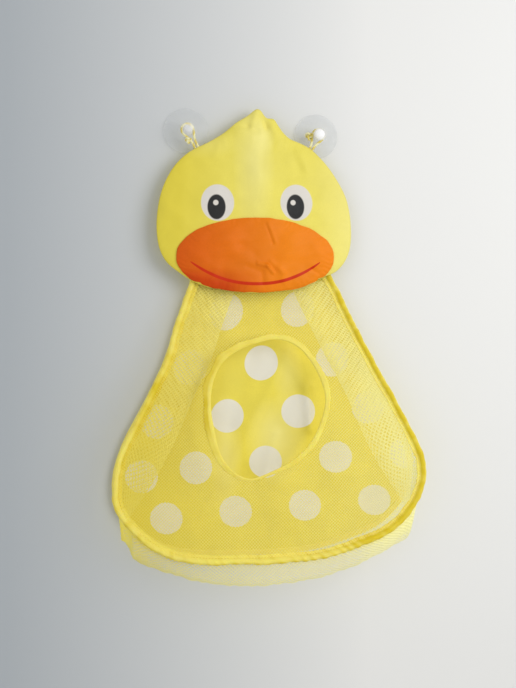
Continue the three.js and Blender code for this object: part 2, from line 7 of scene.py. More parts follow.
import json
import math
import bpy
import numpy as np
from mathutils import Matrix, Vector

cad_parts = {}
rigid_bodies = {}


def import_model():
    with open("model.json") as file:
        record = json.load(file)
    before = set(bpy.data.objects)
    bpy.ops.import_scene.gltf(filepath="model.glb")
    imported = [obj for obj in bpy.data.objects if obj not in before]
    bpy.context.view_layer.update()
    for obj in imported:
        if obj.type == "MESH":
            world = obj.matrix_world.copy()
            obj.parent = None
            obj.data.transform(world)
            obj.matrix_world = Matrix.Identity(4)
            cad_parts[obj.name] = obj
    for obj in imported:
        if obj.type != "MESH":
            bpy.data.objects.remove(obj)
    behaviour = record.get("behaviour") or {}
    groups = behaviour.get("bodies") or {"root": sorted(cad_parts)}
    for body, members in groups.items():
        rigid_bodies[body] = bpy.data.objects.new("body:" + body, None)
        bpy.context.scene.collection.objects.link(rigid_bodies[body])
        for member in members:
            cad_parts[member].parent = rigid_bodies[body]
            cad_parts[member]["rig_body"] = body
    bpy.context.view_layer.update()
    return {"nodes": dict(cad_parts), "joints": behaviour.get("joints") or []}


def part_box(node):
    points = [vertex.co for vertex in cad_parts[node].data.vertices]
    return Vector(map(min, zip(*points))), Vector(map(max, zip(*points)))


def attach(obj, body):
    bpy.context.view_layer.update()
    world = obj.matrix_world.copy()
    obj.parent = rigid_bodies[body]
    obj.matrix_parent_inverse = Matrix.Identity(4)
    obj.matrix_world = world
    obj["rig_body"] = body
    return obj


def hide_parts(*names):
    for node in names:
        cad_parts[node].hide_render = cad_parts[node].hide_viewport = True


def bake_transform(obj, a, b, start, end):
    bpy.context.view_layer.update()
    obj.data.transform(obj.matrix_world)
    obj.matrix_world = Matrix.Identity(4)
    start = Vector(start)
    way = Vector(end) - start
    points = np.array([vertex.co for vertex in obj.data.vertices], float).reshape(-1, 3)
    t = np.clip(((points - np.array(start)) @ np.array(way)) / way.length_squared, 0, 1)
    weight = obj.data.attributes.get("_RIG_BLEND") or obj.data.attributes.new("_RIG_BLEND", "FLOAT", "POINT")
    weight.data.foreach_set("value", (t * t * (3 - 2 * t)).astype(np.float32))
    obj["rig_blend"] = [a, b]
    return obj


bl_info = {
    "name": "Toy Storage Bag",
    "version": (1, 0, 0),
    "blender": (4, 5, 0),
    "location": "3D View > Sidebar > Toy Bag",
    "description": "Builds the visible pieces of a duck-shaped net bag for bath toys",
    "category": "Object",
}

import bmesh
import bpy
import numpy as np
from mathutils import Vector

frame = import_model()

MM = 0.001
TURN = 2 * math.pi


# Small tools for arrays

def unit(vectors):
    """The vectors at length 1."""
    return vectors / np.maximum(np.linalg.norm(vectors, axis=-1, keepdims=True), 1e-12)


def smoothstep(value, start, end):
    """0 before start, 1 after end, and 3t^2 - 2t^3 between them."""
    t = np.clip((value - start) / (end - start), 0, 1)
    return t * t * (3 - 2 * t)


def mix(a, b, share):
    """a at share 0, b at share 1."""
    return a + (b - a) * share


def bell(value, width):
    """1 at 0, falling off as exp(-(value / width)^2)."""
    return np.exp(-((value / width) ** 2))


def crown(share, power, least=0):
    """1 at share 0 and least at share 1: sqrt(1 - share^power)."""
    return np.sqrt(np.clip(1 - share ** power, least, 1))


def signed_power(value, exponent):
    """A power that keeps the sign."""
    return np.sign(value) * np.abs(value) ** exponent


def crowded(count, power):
    """Shares from 0 to 1 that crowd towards 1: 1 - (1 - t)^power."""
    return 1 - (1 - np.linspace(0, 1, count)) ** power


def circle(count):
    """Evenly spaced angles of one turn."""
    return TURN * np.arange(count) / count


def travel(path):
    """How far along its path each point lies."""
    hops = np.linalg.norm(np.diff(path, axis=-2), axis=-1)
    return np.concatenate([np.zeros_like(hops[..., :1]), np.cumsum(hops, -1)], -1)


def read_path(path, travelled, where):
    """The places of a path at the given distances along it."""
    return np.stack([np.interp(where, travelled, c) for c in path.T], 1)


def read_grid(grid, row, column):
    """The places of a grid between its rows and columns."""
    i = np.minimum(row.astype(int), len(grid) - 2)
    j = np.minimum(column.astype(int), grid.shape[1] - 2)
    u, v = (row - i)[..., None], (column - j)[..., None]
    return ((grid[i, j] * (1 - v) + grid[i, j + 1] * v) * (1 - u)
            + (grid[i + 1, j] * (1 - v) + grid[i + 1, j + 1] * v) * u)


def facing(grid):
    """The unit normals of a grid of places."""
    return unit(np.cross(np.gradient(grid, axis=1), np.gradient(grid, axis=0)))


def creased(table, x, z, height):
    """A height with a table's creases added. Each has the shape of a bell across a line: its row gives
    x and z of the line's start and of its end, the bell's width and its height, in millimetres."""
    for *ends, width, rise in table:
        a, b = np.reshape(ends, (2, 2)) * MM
        line = b - a
        t = np.clip(((x - a[0]) * line[0] + (z - a[1]) * line[1]) / (line @ line), 0, 1)
        away = np.hypot(x - a[0] - t * line[0], z - a[1] - t * line[1])
        height = height + rise * MM * bell(away, width * MM)
    return height


def ripple(seed, wavelength, *places):
    """A smooth field of about -1 to 1: eight sines of seeded direction, length and phase, added up."""
    rng = np.random.default_rng(seed)
    total = 0
    for _ in range(8):
        direction = unit(rng.normal(size=len(places)))
        frequency = TURN / (wavelength * rng.uniform(0.6, 1.6))
        phase = rng.uniform(0, TURN)
        total = total + np.sin(frequency * sum(p * d for p, d in zip(places, direction)) + phase)
    return total / 3.4


def spline(points, count, closed=True):
    """Evenly spaced points on the cubic spline through the given ones.

    The spline's second derivatives M solve h(i-1) M(i-1) + 2 (h(i-1) + h(i)) M(i) + h(i) M(i+1) =
    6 (slope(i) - slope(i-1)) with chord lengths h. An open spline has no curvature at its ends.
    """
    points = np.asarray(points, float)
    n = len(points)
    rows = np.arange(n)
    ahead = np.roll(points, -1, 0)
    h = np.linalg.norm(ahead - points, axis=1)
    slope = (ahead - points) / h[:, None]
    behind = np.roll(h, 1)
    matrix = np.zeros((n, n))
    matrix[rows, rows] = 2 * (h + behind)
    matrix[rows, (rows + 1) % n] += h
    matrix[rows, (rows - 1) % n] += behind
    right = 6 * (slope - np.roll(slope, 1, 0))
    if not closed:
        matrix[[0, -1]] = 0
        matrix[0, 0] = matrix[-1, -1] = 1
        right[[0, -1]] = 0
    bend = np.linalg.solve(matrix, right)
    spans = n if closed else n - 1
    t = np.linspace(0, spans, spans * 40 + 1)
    i = np.minimum(t.astype(int), spans - 1)
    j = (i + 1) % n
    b = (t - i)[:, None]
    a = 1 - b
    dense = (a * points[i] + b * points[j]
             + ((a ** 3 - a) * bend[i] + (b ** 3 - b) * bend[j]) * h[i, None] ** 2 / 6)
    travelled = travel(dense)
    wanted = np.linspace(0, travelled[-1], count + closed)
    return read_path(dense, travelled, wanted[:-1] if closed else wanted)


class Outline:
    """A closed smooth outline seen from the room, anticlockwise from its top: x right, second up."""

    def __init__(self, points, middle, count=720):
        self.middle = np.asarray(middle, float)
        arm = points - self.middle
        points = points[np.argsort((np.arctan2(arm[:, 1], arm[:, 0]) - math.pi / 2) % TURN)]
        apart = np.linalg.norm(points - np.roll(points, 1, 0), axis=1)
        self.place = spline(points[apart > 0.4 * MM], count)
        ahead = np.roll(self.place, -1, 0)
        along = unit(ahead - np.roll(self.place, 1, 0))
        self.outwards = np.stack([along[:, 1], -along[:, 0]], 1)
        self.step = np.linalg.norm(ahead - self.place, axis=1).mean()
        self.length = self.step * count
        arm = self.place - self.middle
        self.angle = np.arctan2(arm[:, 1], arm[:, 0])
        self.reach = np.linalg.norm(arm, axis=1)

    def ray(self, x, up):
        """How far the outline lies from the middle, in the direction of a place."""
        angle = np.arctan2(up - self.middle[1], x - self.middle[0])
        return np.interp(angle, self.angle, self.reach, period=TURN)

    def share(self, x, up):
        """How far out a place lies along the ray from the middle: 0 there, 1 on the outline."""
        return np.hypot(x - self.middle[0], up - self.middle[1]) / self.ray(x, up)

    def disc(self, shares, every):
        """The outline's points, or one in so many, drawn in towards the middle: a row for each share."""
        arm = self.place[::every] - self.middle
        return [self.middle[k] + shares[:, None] * arm[:, k] for k in (0, 1)]

    def gathers(self, count):
        """Angles that turn so many times round the outline."""
        return TURN * count * np.arange(len(self.place)) / len(self.place)


# The frame's own planes and outlines

def cad_points(node):
    """The different vertices of a CAD node."""
    vertices = frame["nodes"][node].data.vertices
    flat = np.empty(len(vertices) * 3, np.float32)
    vertices.foreach_get("co", flat)
    return np.unique(np.round(flat.reshape(-1, 3).astype(float), 6), axis=0)


def box_middle(node):
    low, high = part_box(node)
    return (low + high) / 2


SLEEVE_RADIUS = 3 * MM
NECK_JOINT = next(joint for joint in frame["joints"] if joint["name"] == "front_open")["pos_m"]
HOOP_DISTANCE, NECK_HEIGHT = -NECK_JOINT[1], NECK_JOINT[2]
HOOP_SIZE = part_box("front_hoop_sleeve")[1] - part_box("front_hoop_sleeve")[0]
HOOP_TILT = math.atan2(HOOP_SIZE.y - 2 * SLEEVE_RADIUS, HOOP_SIZE.z - 2 * SLEEVE_RADIUS)
BACK_DISTANCE = -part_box("back_panel")[1].y
HEAD_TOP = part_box("head_front_panel")[1].z
HEAD_SIZE = HEAD_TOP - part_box("head_front_panel")[0].z
HANG_DISTANCE = 12.5 * MM
HEAD_LEAN = 5.6 * MM
MOUTH_TAPE = 5 * MM
# The free lip starts to bend this far above the neck, and its end stands off the front net by as much
# as the net comes forward when it opens
LIP_BEND = 8 * MM
LIP_SLOPE = math.tan(math.radians(8.5))
LIP_EASE = 2 * MM


def plane_below_neck(distance, tilt):
    """Gives the places on a plane that hangs from the neck and leans away from the wall by its tilt: x,
    how far up from the neck, and how far out towards the room."""
    def place(x, up, out=0.0):
        x, up, out = np.broadcast_arrays(x, up, out)
        y = -distance + up * math.sin(tilt) - out * math.cos(tilt)
        return np.stack([x, y, NECK_HEIGHT + up * math.cos(tilt) + out * math.sin(tilt)], -1)

    return place


on_front = plane_below_neck(HOOP_DISTANCE, HOOP_TILT)
on_back = plane_below_neck(BACK_DISTANCE, 0)


def seam_distance(z):
    """How far the head's seam is from the wall: it leans forward towards its lower lip."""
    return HANG_DISTANCE + HEAD_LEAN * (HEAD_TOP - z) / HEAD_SIZE


def head_outline():
    """The head's outline, from the edge ring of its front cloth's inner face."""
    points = cad_points("head_front_panel")
    inner = -points[:, 1] - seam_distance(points[:, 2])
    edge = np.unique(np.round(points[inner < 0.3 * MM][:, [0, 2]], 5), axis=0)
    return Outline(edge, (1 * MM, HEAD_TOP - 108 * MM))


def bag_outline():
    """The bag's outline in the panels' planes, from the edge of the back panel."""
    points = cad_points("back_panel")[:, [0, 2]] - [0, NECK_HEIGHT]
    return Outline(np.unique(np.round(points, 5), axis=0), (13.65 * MM, -165 * MM))


# The mouth's outline in shares of its half width and half height
MOUTH_SHARES = [
    (0.16, 1), (-0.16, 0.95), (-0.46, 0.87), (-0.753, 0.7), (-0.95, 0.38), (-1, 0.043), (-0.932, -0.318),
    (-0.79, -0.7), (-0.6, -0.895), (-0.323, -1), (-0.06, -0.945), (0.2, -0.85), (0.5, -0.69), (0.75, -0.47),
    (0.93, -0.157), (1, 0.12), (0.92, 0.42), (0.754, 0.693), (0.48, 0.925),
]


def mouth_outline():
    """The mouth's outline in the hoop's plane, at the size that the box of its tape leaves for it."""
    low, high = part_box("mouth_binding")
    upright = math.cos(HOOP_TILT)
    middle = np.array([(low.x + high.x) / 2, ((low.z + high.z) / 2 - NECK_HEIGHT) / upright])
    half = np.array([high.x - low.x, (high.z - low.z) / upright]) / 2 - MOUTH_TAPE
    return Outline(middle + np.array(MOUTH_SHARES) * half, middle, 600)


HEAD, BAG, MOUTH = head_outline(), bag_outline(), mouth_outline()


# Swellings that neighbouring pieces share

# Creases of the head's front, for creased
HEAD_CREASES = [
    (2, 21, -3, 4, 3.2, 1.5), (7.5, 18, 13, 5, 2.6, -2.6), (13, 5, 17, -12, 5, -1.2),
    (14, 14, 22, 0, 4, 1.2), (-17, 7, -6, 5, 3.5, -1.5), (-6, 5, 3, 1, 3, -1.2),
    (-14, 1, -3, -5, 4, 0.9), (-5, -9, 3, -45, 11, 1.5), (3, -45, 14, -84, 15, 1.4),
    (45, -21, 51, -34, 4.5, 1.3), (38, -14, 46, -40, 6, -0.7), (-33, -9, -40, -24, 6, 0.9),
    (-62, -34, -52, -50, 9, -0.8), (70, -46, 60, -62, 8, -0.9), (-86, -78, -70, -84, 6, 0.7),
    (88, -84, 72, -88, 6, 0.7),
]


def head_front_distance(x, z):
    """The front cloth's distance from the wall: it rolls up from the seam, swells as 1 - share^2.4
    towards the middle, and carries creases, long soft waves and the small puckers of the seam."""
    share = np.minimum(HEAD.share(x, z), 1)
    angle = np.arctan2(z - HEAD.middle[1], x - HEAD.middle[0])
    swell = 7 * MM * (1 - share ** 2.4) + 2 * MM * crown(share, 22)
    waves = 0.55 * MM * ripple(11, 0.055, x, z) + 0.2 * MM * ripple(12, 0.017, x, z)
    puckers = 0.16 * MM * np.sin(31 * angle + 6 * ripple(13, 0.05, x, z)) * smoothstep(share, 0.8, 0.95)
    lip = LIP_SLOPE * LIP_EASE * np.logaddexp(0, (NECK_HEIGHT - z) / LIP_EASE)
    return (seam_distance(z) + 0.4 * MM + swell + lip
            + crown(share, 14) * (creased(HEAD_CREASES, x, z, waves) + puckers))


def net_swell(x, up):
    """How far the front net stands out of the hoop's plane: most around the mouth, none at the hoop."""
    share = np.minimum(BAG.share(x, up), 1)
    return (1 - share ** 4) * (2.2 * MM + 0.7 * MM * ripple(21, 0.07, x, up))


# Meshes

def new_mesh(name, points, faces, **values):
    """A mesh of points and faces, with an attribute of one number to a point for each of the values."""
    mesh = bpy.data.meshes.new(name)
    mesh.from_pydata(points.reshape(-1, 3), [], faces)
    for key, value in values.items():
        attribute = mesh.attributes.new(key, "FLOAT", "POINT")
        attribute.data.foreach_set("value", np.asarray(value, np.float32).reshape(-1))
    return mesh


def close(mesh, merge=0.004 * MM):
    """Merges doubled points, drops what collapsed, and turns the faces outwards."""
    work = bmesh.new()
    work.from_mesh(mesh)
    bmesh.ops.remove_doubles(work, verts=work.verts, dist=merge)
    bmesh.ops.dissolve_degenerate(work, edges=work.edges, dist=merge / 4)
    bmesh.ops.recalc_face_normals(work, faces=work.faces)
    work.to_mesh(mesh)
    work.free()
    return mesh


def surface(name, points, uv=None, ring=False, **values):
    """A closed-up mesh of quads on a grid of points whose rows run round; with ring its columns do too.
    uv has one column more than the points, and with ring one row more."""
    index = np.arange(points.shape[0] * points.shape[1]).reshape(points.shape[:2])
    index = np.concatenate([index, index[:, :1]], 1)
    if ring:
        index = np.concatenate([index, index[:1]], 0)

    def corners(grid):
        return np.stack([grid[:-1, :-1], grid[:-1, 1:], grid[1:, 1:], grid[1:, :-1]], 2)

    mesh = new_mesh(name, points, corners(index).reshape(-1, 4).tolist(), **values)
    if uv is not None:
        layer = mesh.uv_layers.new(name="cloth")
        layer.data.foreach_set("uv", corners(uv).reshape(-1).astype(np.float32))
    return close(mesh)


def link(name, data):
    """A new object of the scene."""
    made = bpy.data.objects.new(name, data)
    bpy.context.scene.collection.objects.link(made)
    return made


def piece(mesh, finish, node, replaces=True, rides=True, smooth=True, thickness=0):
    """The object of a mesh: it rides on a CAD node's body, stands for the node and takes a slot's finish.
    A sheet's thickness is laid half to either side."""
    mesh.polygons.foreach_set("use_smooth", np.full(len(mesh.polygons), smooth))
    mesh.materials.append(finish)
    made = link(mesh.name, mesh)
    if rides:
        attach(made, frame["nodes"][node]["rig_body"])
    if replaces:
        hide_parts(node)
    if thickness:
        wall = made.modifiers.new("thickness", "SOLIDIFY")
        wall.thickness, wall.offset = thickness, 0
    return made


def lip_follows_net(made):
    """Bends a cloth of the head at the neck: the free lip below it lies on the bag and goes with it."""
    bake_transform(made, "head", "bag_back", start=(0, 0, NECK_HEIGHT + LIP_BEND), end=(0, 0, NECK_HEIGHT))


def mirrored(half):
    """A closed section from the points of its upper half, in millimetres, resampled smoothly."""
    half = np.array(half, float) * MM
    return spline(np.concatenate([half, half[1:-1][::-1] * [1, -1]]), 36)


def sweep(name, outline, section, plane, lift=0.0, turn=0.0, size=1.0, shift=0.0, **values):
    """A section carried round an outline in a plane. The section's points are [outwards, out of the
    plane]; size scales it, turn rolls it about the outline, shift moves it outwards and lift raises it,
    each per column or point."""
    out, rise = section[:, :1] * size, section[:, 1:] * size
    out, rise = out * np.cos(turn) - rise * np.sin(turn), out * np.sin(turn) + rise * np.cos(turn)
    out = out + shift
    x, up = (outline.place[:, k] + outline.outwards[:, k] * out for k in (0, 1))
    points = plane(x, up, rise + lift)
    rows, columns = points.shape[:2]
    along, across = np.linspace(0, outline.length, columns + 1), np.linspace(0, 12 * MM, rows + 1)
    uv = np.stack(np.meshgrid(along, across), -1)
    return surface(name, points, uv, True, **values)


def strands(name, places, kept, radius, depth, tip):
    """Two families of net strands on a staggered grid of knots (columns, rows).

    A knot is on the grid where column + row is even. One family runs from each knot to the next column
    and row, the other to the next column and the row before. Every knot carries one triangular ring for
    each family, and rings of neighbouring kept knots are joined; a strand's ends get a face. radius and
    depth, how much deeper than wide a strand is, may differ from knot to knot. The section points along
    the grid's normals with tip 1 and against them with -1. The attribute "across" falls from 1 at the
    first row to 0 at the last.
    """
    normals = facing(places)
    columns, rows = kept.shape
    across = np.broadcast_to(1 - np.linspace(0, 1, rows), kept.shape)
    radius, depth = (np.broadcast_to(size, kept.shape)[..., None, None] for size in (radius, depth))
    kept = kept & ((np.add.outer(np.arange(columns), np.arange(rows)) % 2) == 0)
    angles = TURN * (np.arange(3) / 3 + 0.25 * tip)
    all_points, all_across, quads, caps, offset = [], [], [], [], 0
    for step in (1, -1):
        def shifted(grid, a):
            moved = np.zeros_like(grid)
            b = a * step
            source = (slice(max(a, 0), columns + min(a, 0)), slice(max(b, 0), rows + min(b, 0)))
            target = (slice(max(-a, 0), columns + min(-a, 0)), slice(max(-b, 0), rows + min(-b, 0)))
            moved[target] = grid[source]
            return moved

        has_next, has_last = shifted(kept, 1) & kept, shifted(kept, -1) & kept
        ahead = np.where(has_next[..., None], shifted(places, 1), places)
        behind = np.where(has_last[..., None], shifted(places, -1), places)
        side = unit(np.cross(unit(ahead - behind), normals))
        ring = (places[..., None, :] + 0.3 * radius * step * normals[..., None, :]
                + radius * (np.cos(angles)[:, None] * side[..., None, :]
                            + depth * np.sin(angles)[:, None] * normals[..., None, :]))
        used = has_next | has_last
        index = np.full(kept.shape, -1)
        index[used] = np.arange(used.sum()) * 3 + offset
        offset += used.sum() * 3
        all_points.append(ring[used].reshape(-1, 3))
        all_across.append(np.repeat(across[used], 3))
        start, end = index[has_next], shifted(index, 1)[has_next]
        for k, m in ((0, 1), (1, 2), (2, 0)):
            quads += np.stack([start + k, end + k, end + m, start + m], 1).tolist()
        caps += (index[used & ~has_last][:, None] + [0, 1, 2]).tolist()
        caps += (index[used & ~has_next][:, None] + [0, 2, 1]).tolist()
    return new_mesh(name, np.concatenate(all_points), quads + caps, across=np.concatenate(all_across))


def stitches(name, places, normals, pitch, length, radius):
    """A row of stitches along a path: each is a short thread, thick in its middle and pointed at both
    ends, its rings at -1, -0.56, 0.56 and 1 of its half length."""
    travelled = travel(places)
    at = np.arange(pitch / 2, travelled[-1] - pitch / 2, pitch)
    centre, start, end = (read_path(places, travelled, at + move) for move in (0, -length / 2, length / 2))
    normal = unit(read_path(normals, travelled, at))
    along = unit(end - start)
    side = unit(np.cross(along, normal))
    angles = circle(5)[:, None, None]
    ring = (np.cos(angles) * side + np.sin(angles) * normal) * radius
    points = np.stack([centre + along * (s * length) + ring * k + normal * radius * (k - 1) * 1.5
                       for s, k in ((-0.5, 0.3), (-0.28, 1), (0.28, 1), (0.5, 0.3))])
    index = np.arange(4 * 5 * len(at)).reshape(4, 5, len(at))
    turned = np.roll(index, -1, 1)
    quads = np.stack([index[:-1], turned[:-1], turned[1:], index[1:]], -1).reshape(-1, 4)
    ends = np.concatenate([index[0].T[:, ::-1], index[-1].T])
    return close(new_mesh(name, points, quads.tolist() + ends.tolist()), 0.0005 * MM)


def tube(name, path, radius, sides, pitch=5 * MM):
    """A cord of two plies along a path. Its section has two lobes that turn once a pitch:
    radius * (0.86 + 0.2 |cos(angle - turn)|)."""
    along = unit(np.gradient(path, axis=0))
    side = unit(np.cross(along, (0.0, 1.0, 0.0)))
    angles, travelled = circle(sides), travel(path)
    size = radius * (0.86 + 0.2 * np.abs(np.cos(angles[None] - TURN * travelled[:, None] / pitch)))
    points = path[:, None] + size[..., None] * (np.cos(angles)[:, None] * side[:, None]
                                                + np.sin(angles)[:, None] * np.cross(side, along)[:, None])
    ends = [np.repeat(path[[k]], sides, 0)[None] for k in (0, -1)]
    rows = np.concatenate([[0], travelled, travelled[-1:]])
    uv = np.stack(np.broadcast_arrays(rows[:, None], np.linspace(0, TURN * radius, sides + 1)), -1)
    return surface(name, np.concatenate([ends[0], points, ends[1]]), uv)


# Materials

class Finish:
    """A procedural material: a Principled shader and the node expressions that feed it."""

    def __init__(self, name, colour, roughness, **sockets):
        self.material = bpy.data.materials.new(name)
        self.material.use_nodes = True
        self.material.diffuse_color = (*colour, 1)
        self.tree = self.material.node_tree
        self.shader = self.tree.nodes["Principled BSDF"]
        self.set(base_color=(*colour, 1), roughness=roughness, **sockets)

    def set(self, **sockets):
        """Feeds the shader's sockets, which are named in lower case, and returns the material."""
        for key, value in sockets.items():
            self.feed(self.shader, key.replace("_", " ").title().replace("Ior", "IOR"), value)
        return self.material

    def feed(self, node, socket, value):
        """Links a socket to another, or sets its value."""
        if isinstance(value, bpy.types.NodeSocket):
            self.tree.links.new(value, node.inputs[socket])
        else:
            node.inputs[socket].default_value = value

    def node(self, kind, inputs=(), **settings):
        """A new node's outputs."""
        made = self.tree.nodes.new("ShaderNode" + kind)
        for key, value in settings.items():
            setattr(made, key, value)
        for key, value in dict(inputs).items():
            self.feed(made, key, value)
        return made.outputs

    def math(self, operation, *values):
        return self.node("Math", enumerate(values), operation=operation)[0]

    def times(self, a, b):
        return self.math("MULTIPLY", a, b)

    def vector(self, operation, *values):
        made = self.node("VectorMath", enumerate(values), operation=operation)
        return made["Value" if operation == "LENGTH" else "Vector"]

    def place(self):
        return self.node("TexCoord")["Object"]

    def cloth_map(self):
        return self.node("UVMap", uv_map="cloth")["UV"]

    def axes(self, where=None):
        """The three parts of a place, by default the object's own."""
        return self.node("SeparateXYZ", {0: where or self.place()})

    def attribute(self, name):
        return self.node("Attribute", attribute_name=name)["Fac"]

    def noise(self, scale, detail):
        return self.node("TexNoise", {"Vector": self.place(), "Scale": scale, "Detail": detail})[0]

    def ramp(self, value, low, high, to_low=0.0, to_high=1.0):
        return self.node("MapRange", enumerate((value, low, high, to_low, to_high)))[0]

    def blend(self, share, a, b, **settings):
        """The colour a where share is 0 and b where it is 1."""
        a, b = (c if isinstance(c, bpy.types.NodeSocket) else (*c, 1) for c in (a, b))
        return self.node("Mix", {0: share, 6: a, 7: b}, data_type="RGBA", **settings)[2]

    def varied(self, field, colour, lightest):
        """A colour that a field of noise makes a little darker or lighter."""
        return self.blend(self.ramp(field, 0.3, 0.7), shade(colour, 0.93), shade(colour, lightest))

    def weave(self, mapped, pitch):
        """A plain weave's relief: the product of a sine across and a sine along, one turn to two threads."""
        scaled = self.vector("SCALE", self.cloth_map() if mapped else self.place())
        self.feed(scaled.node, "Scale", TURN / pitch)
        parts = self.axes(scaled)
        return self.times(self.math("SINE", parts[0]), self.math("SINE", parts[1 if mapped else 2]))

    def relief(self, *layers):
        """Bumps laid on each other, each as (height, distance)."""
        normal = None
        for height, distance in layers:
            bump = {"Height": height, "Distance": distance, "Strength": 1.0}
            normal = self.node("Bump", bump | ({"Normal": normal} if normal else {}))[0]
        self.set(normal=normal)

    def ellipse(self, centre, half, soft):
        """1 inside an ellipse in x and z, in millimetres, and 0 outside it."""
        offset = self.vector("SUBTRACT", self.place(), (centre[0] * MM, 0, centre[1] * MM))
        scaled = self.vector("MULTIPLY", offset, (1000 / half[0], 0, 1000 / half[1]))
        return self.ramp(self.vector("LENGTH", scaled), 1 - soft, 1 + soft, 1, 0)

    def lit(self, tone, pale, spots):
        """A tone with soft pale ellipses of painted highlight, each as centre, half size and strength."""
        for centre, half, strength in spots:
            tone = self.blend(self.times(self.ellipse(centre, half, 0.8), strength), tone, pale)
        return tone


def shade(colour, factor):
    """A colour made darker or lighter."""
    return tuple(min(1.0, c * factor) for c in colour)


def cloth(name, colour, pitch, depth, shine, sheen, wrinkles=0.12, mapped=False):
    """A woven cloth: colour that drifts over centimetres and from thread to thread, a plain weave in
    relief, and small wrinkles. Pitch, depth and wrinkles are in millimetres."""
    made = Finish(name, colour, shine, sheen_weight=sheen, sheen_roughness=0.45, specular_ior_level=0.3)
    drift = made.noise(28, 3)
    thread = made.ramp(made.noise(900, 1), 0.3, 0.7, 0, 0.35)
    made.tone = made.blend(thread, made.varied(drift, colour, 1.04), shade(colour, 0.86))
    made.set(base_color=made.tone, roughness=made.ramp(drift, 0.2, 0.8, shine - 0.06, shine + 0.08))
    made.relief((made.noise(75, 4), wrinkles * 4 * MM), (made.weave(mapped, pitch * 2 * MM), depth * MM))
    return made


def plain_satin(name, colours):
    return cloth(name, colours.head_yellow, 0.4, 0.03, 0.46, 0.06)


# The eyes' whites, pupils and lights: half size, softness, colour, and centres of the left and right one
EYES = [
    ((16.2, 17.8), 0.03, "eye_white", (-37.4, -71.0), (41.0, -69.9)),
    ((8.9, 12.2), 0.05, "pupil_black", (-38.5, -75.2), (39.9, -74.0)),
    ((2.6, 2.6), 0.15, "eye_white", (-39.2, -71.0), (37.5, -70.0)),
]


def yellow_satin(colours):
    """The head's satin: painted shade to the left, painted light to the right, painted highlights, and
    printed eyes.
    """
    made = plain_satin("yellow_satin", colours)
    across = made.axes()[0]
    # Painted shade deepens the satin to the left, and painted light pales it at the right edge
    printed = made.blend(made.ramp(across, -0.02, -0.075, 0, 0.9), made.tone, colours.head_deep)
    printed = made.blend(made.ramp(across, 0.06, 0.1, 0, 0.4), printed, colours.head_pale)
    # Painted highlights: a broad pale band down the middle and two smaller pale patches
    printed = made.lit(printed, colours.head_pale, (
        ((-1, -30), (12, 46), 0.5), ((9, -6), (7, 12), 0.4), ((-50, -12), (22, 9), 0.2)))
    for half, soft, tone, *centres in EYES:
        for centre in centres:
            printed = made.blend(made.ellipse(centre, half, soft), printed, getattr(colours, tone))
    return made.set(base_color=printed)


def orange_satin(colours):
    """The beak's cloth, with painted shade to the left and below, and the red smile where its attribute is
    under 1.
    """
    made = cloth("orange_satin", colours.beak_orange, 0.4, 0.03, 0.45, 0.0)
    x, _, z = made.axes()
    # Painted shade: a share that grows to the left and along the bottom of the left half, tinting the tone
    # towards the shaded orange
    low = made.times(made.ramp(z, -0.134, -0.152, 0, 0.6), made.ramp(x, 0.01, -0.03))
    deep = made.math("ADD", made.ramp(x, -0.075, 0.03, 0.75, 0), low)
    depth = made.blend(deep, (1, 1, 1), [b / a for a, b in zip(colours.beak_orange, colours.beak_deep)])
    tone = made.blend(1.0, made.tone, depth, blend_type="MULTIPLY")
    line = made.ramp(made.attribute("smile"), 0.85, 1.15, 1, 0)
    return made.set(specular_ior_level=0.16, base_color=made.blend(line, tone, colours.smile_red))


# Distances between dots across and between their rows, in millimetres of cloth
DOT_PITCH = 70.5, 48.5


def dotted_cloth(colours):
    """The back panel's cloth: its map counts dots across and rows down. Odd rows are moved half a pitch."""
    made = cloth("dotted_polyester", colours.panel_yellow, 0.5, 0.03, 0.5, 0.06, 0.08)
    parts = made.axes(made.cloth_map())
    row = made.math("ROUND", parts[1])
    across = made.math("ADD", parts[0], made.times(made.math("PINGPONG", row, 1.0), 0.5))
    away = [made.times(made.math("SUBTRACT", value, nearest), pitch) for value, nearest, pitch in zip(
        (across, parts[1]), (made.math("ROUND", across), row), DOT_PITCH)]
    square = made.math("ADD", *(made.times(part, part) for part in away))
    dot = made.ramp(made.math("SQRT", square), 16.1, 16.7, 1, 0)
    # Painted highlights: pale patches where the panel's satin catches the light
    ground_with_painted_highlights = made.lit(made.tone, colours.head_pale, (
        ((24, -306), (18, 26), 0.6), ((-27, -318), (10, 34), 0.5), ((36, -241), (9, 22), 0.3)))
    return made.set(base_color=made.blend(dot, ground_with_painted_highlights, colours.dot_cream))


def binding_cloth(name, colours):
    """A bound tape with a fine rib, pale, and gold where its attribute "gilt" says so: partly the tape's gold
    side, partly painted shade.
    """
    made = cloth(name, colours.binding_pale, 0.45, 0.06, 0.55, 0.08, 0.1, mapped=True)
    tone = made.blend(made.ramp(made.attribute("gilt"), 0.1, 0.95), made.tone, colours.binding_gold)
    return made.set(subsurface_weight=0.7, subsurface_scale=0.8 * MM, subsurface_radius=(1.0, 0.9, 0.35),
                    base_color=tone)


def net_yarn(name, colour, deep, pale, hanging=None):
    """Knitted yarn: its colour drifts from strand to strand, carries painted shade to the left and painted
    light to the right, may be another where it hangs below the hoop, with painted shade to its left there,
    and a fine twist is in relief."""
    made = Finish(name, colour, 0.55, sheen_weight=0.1, sheen_roughness=0.5)
    x, _, z = made.axes()
    drift = made.varied(made.noise(60, 3), colour, 1.05)
    # Painted shade deepens the yarn to the left, and painted light pales it to the right
    drift = made.blend(made.ramp(x, -0.02, -0.11, 0, 0.8), drift, deep)
    drift = made.blend(made.ramp(x, 0.03, 0.16, 0, 0.9), drift, pale)
    if hanging:
        # Below the hoop the hanging colour takes over, with painted shade to its left
        lower = made.times(made.ramp(z, -0.385, -0.42), made.ramp(x, -0.13, 0.0, 0.5, 0.9))
        shaded = made.blend(made.ramp(x, -0.11, 0.02), shade(hanging, 0.74), hanging)
        drift = made.blend(lower, drift, shaded)
    made.relief((made.noise(2600, 1), 0.04 * MM))
    return made.set(base_color=drift)


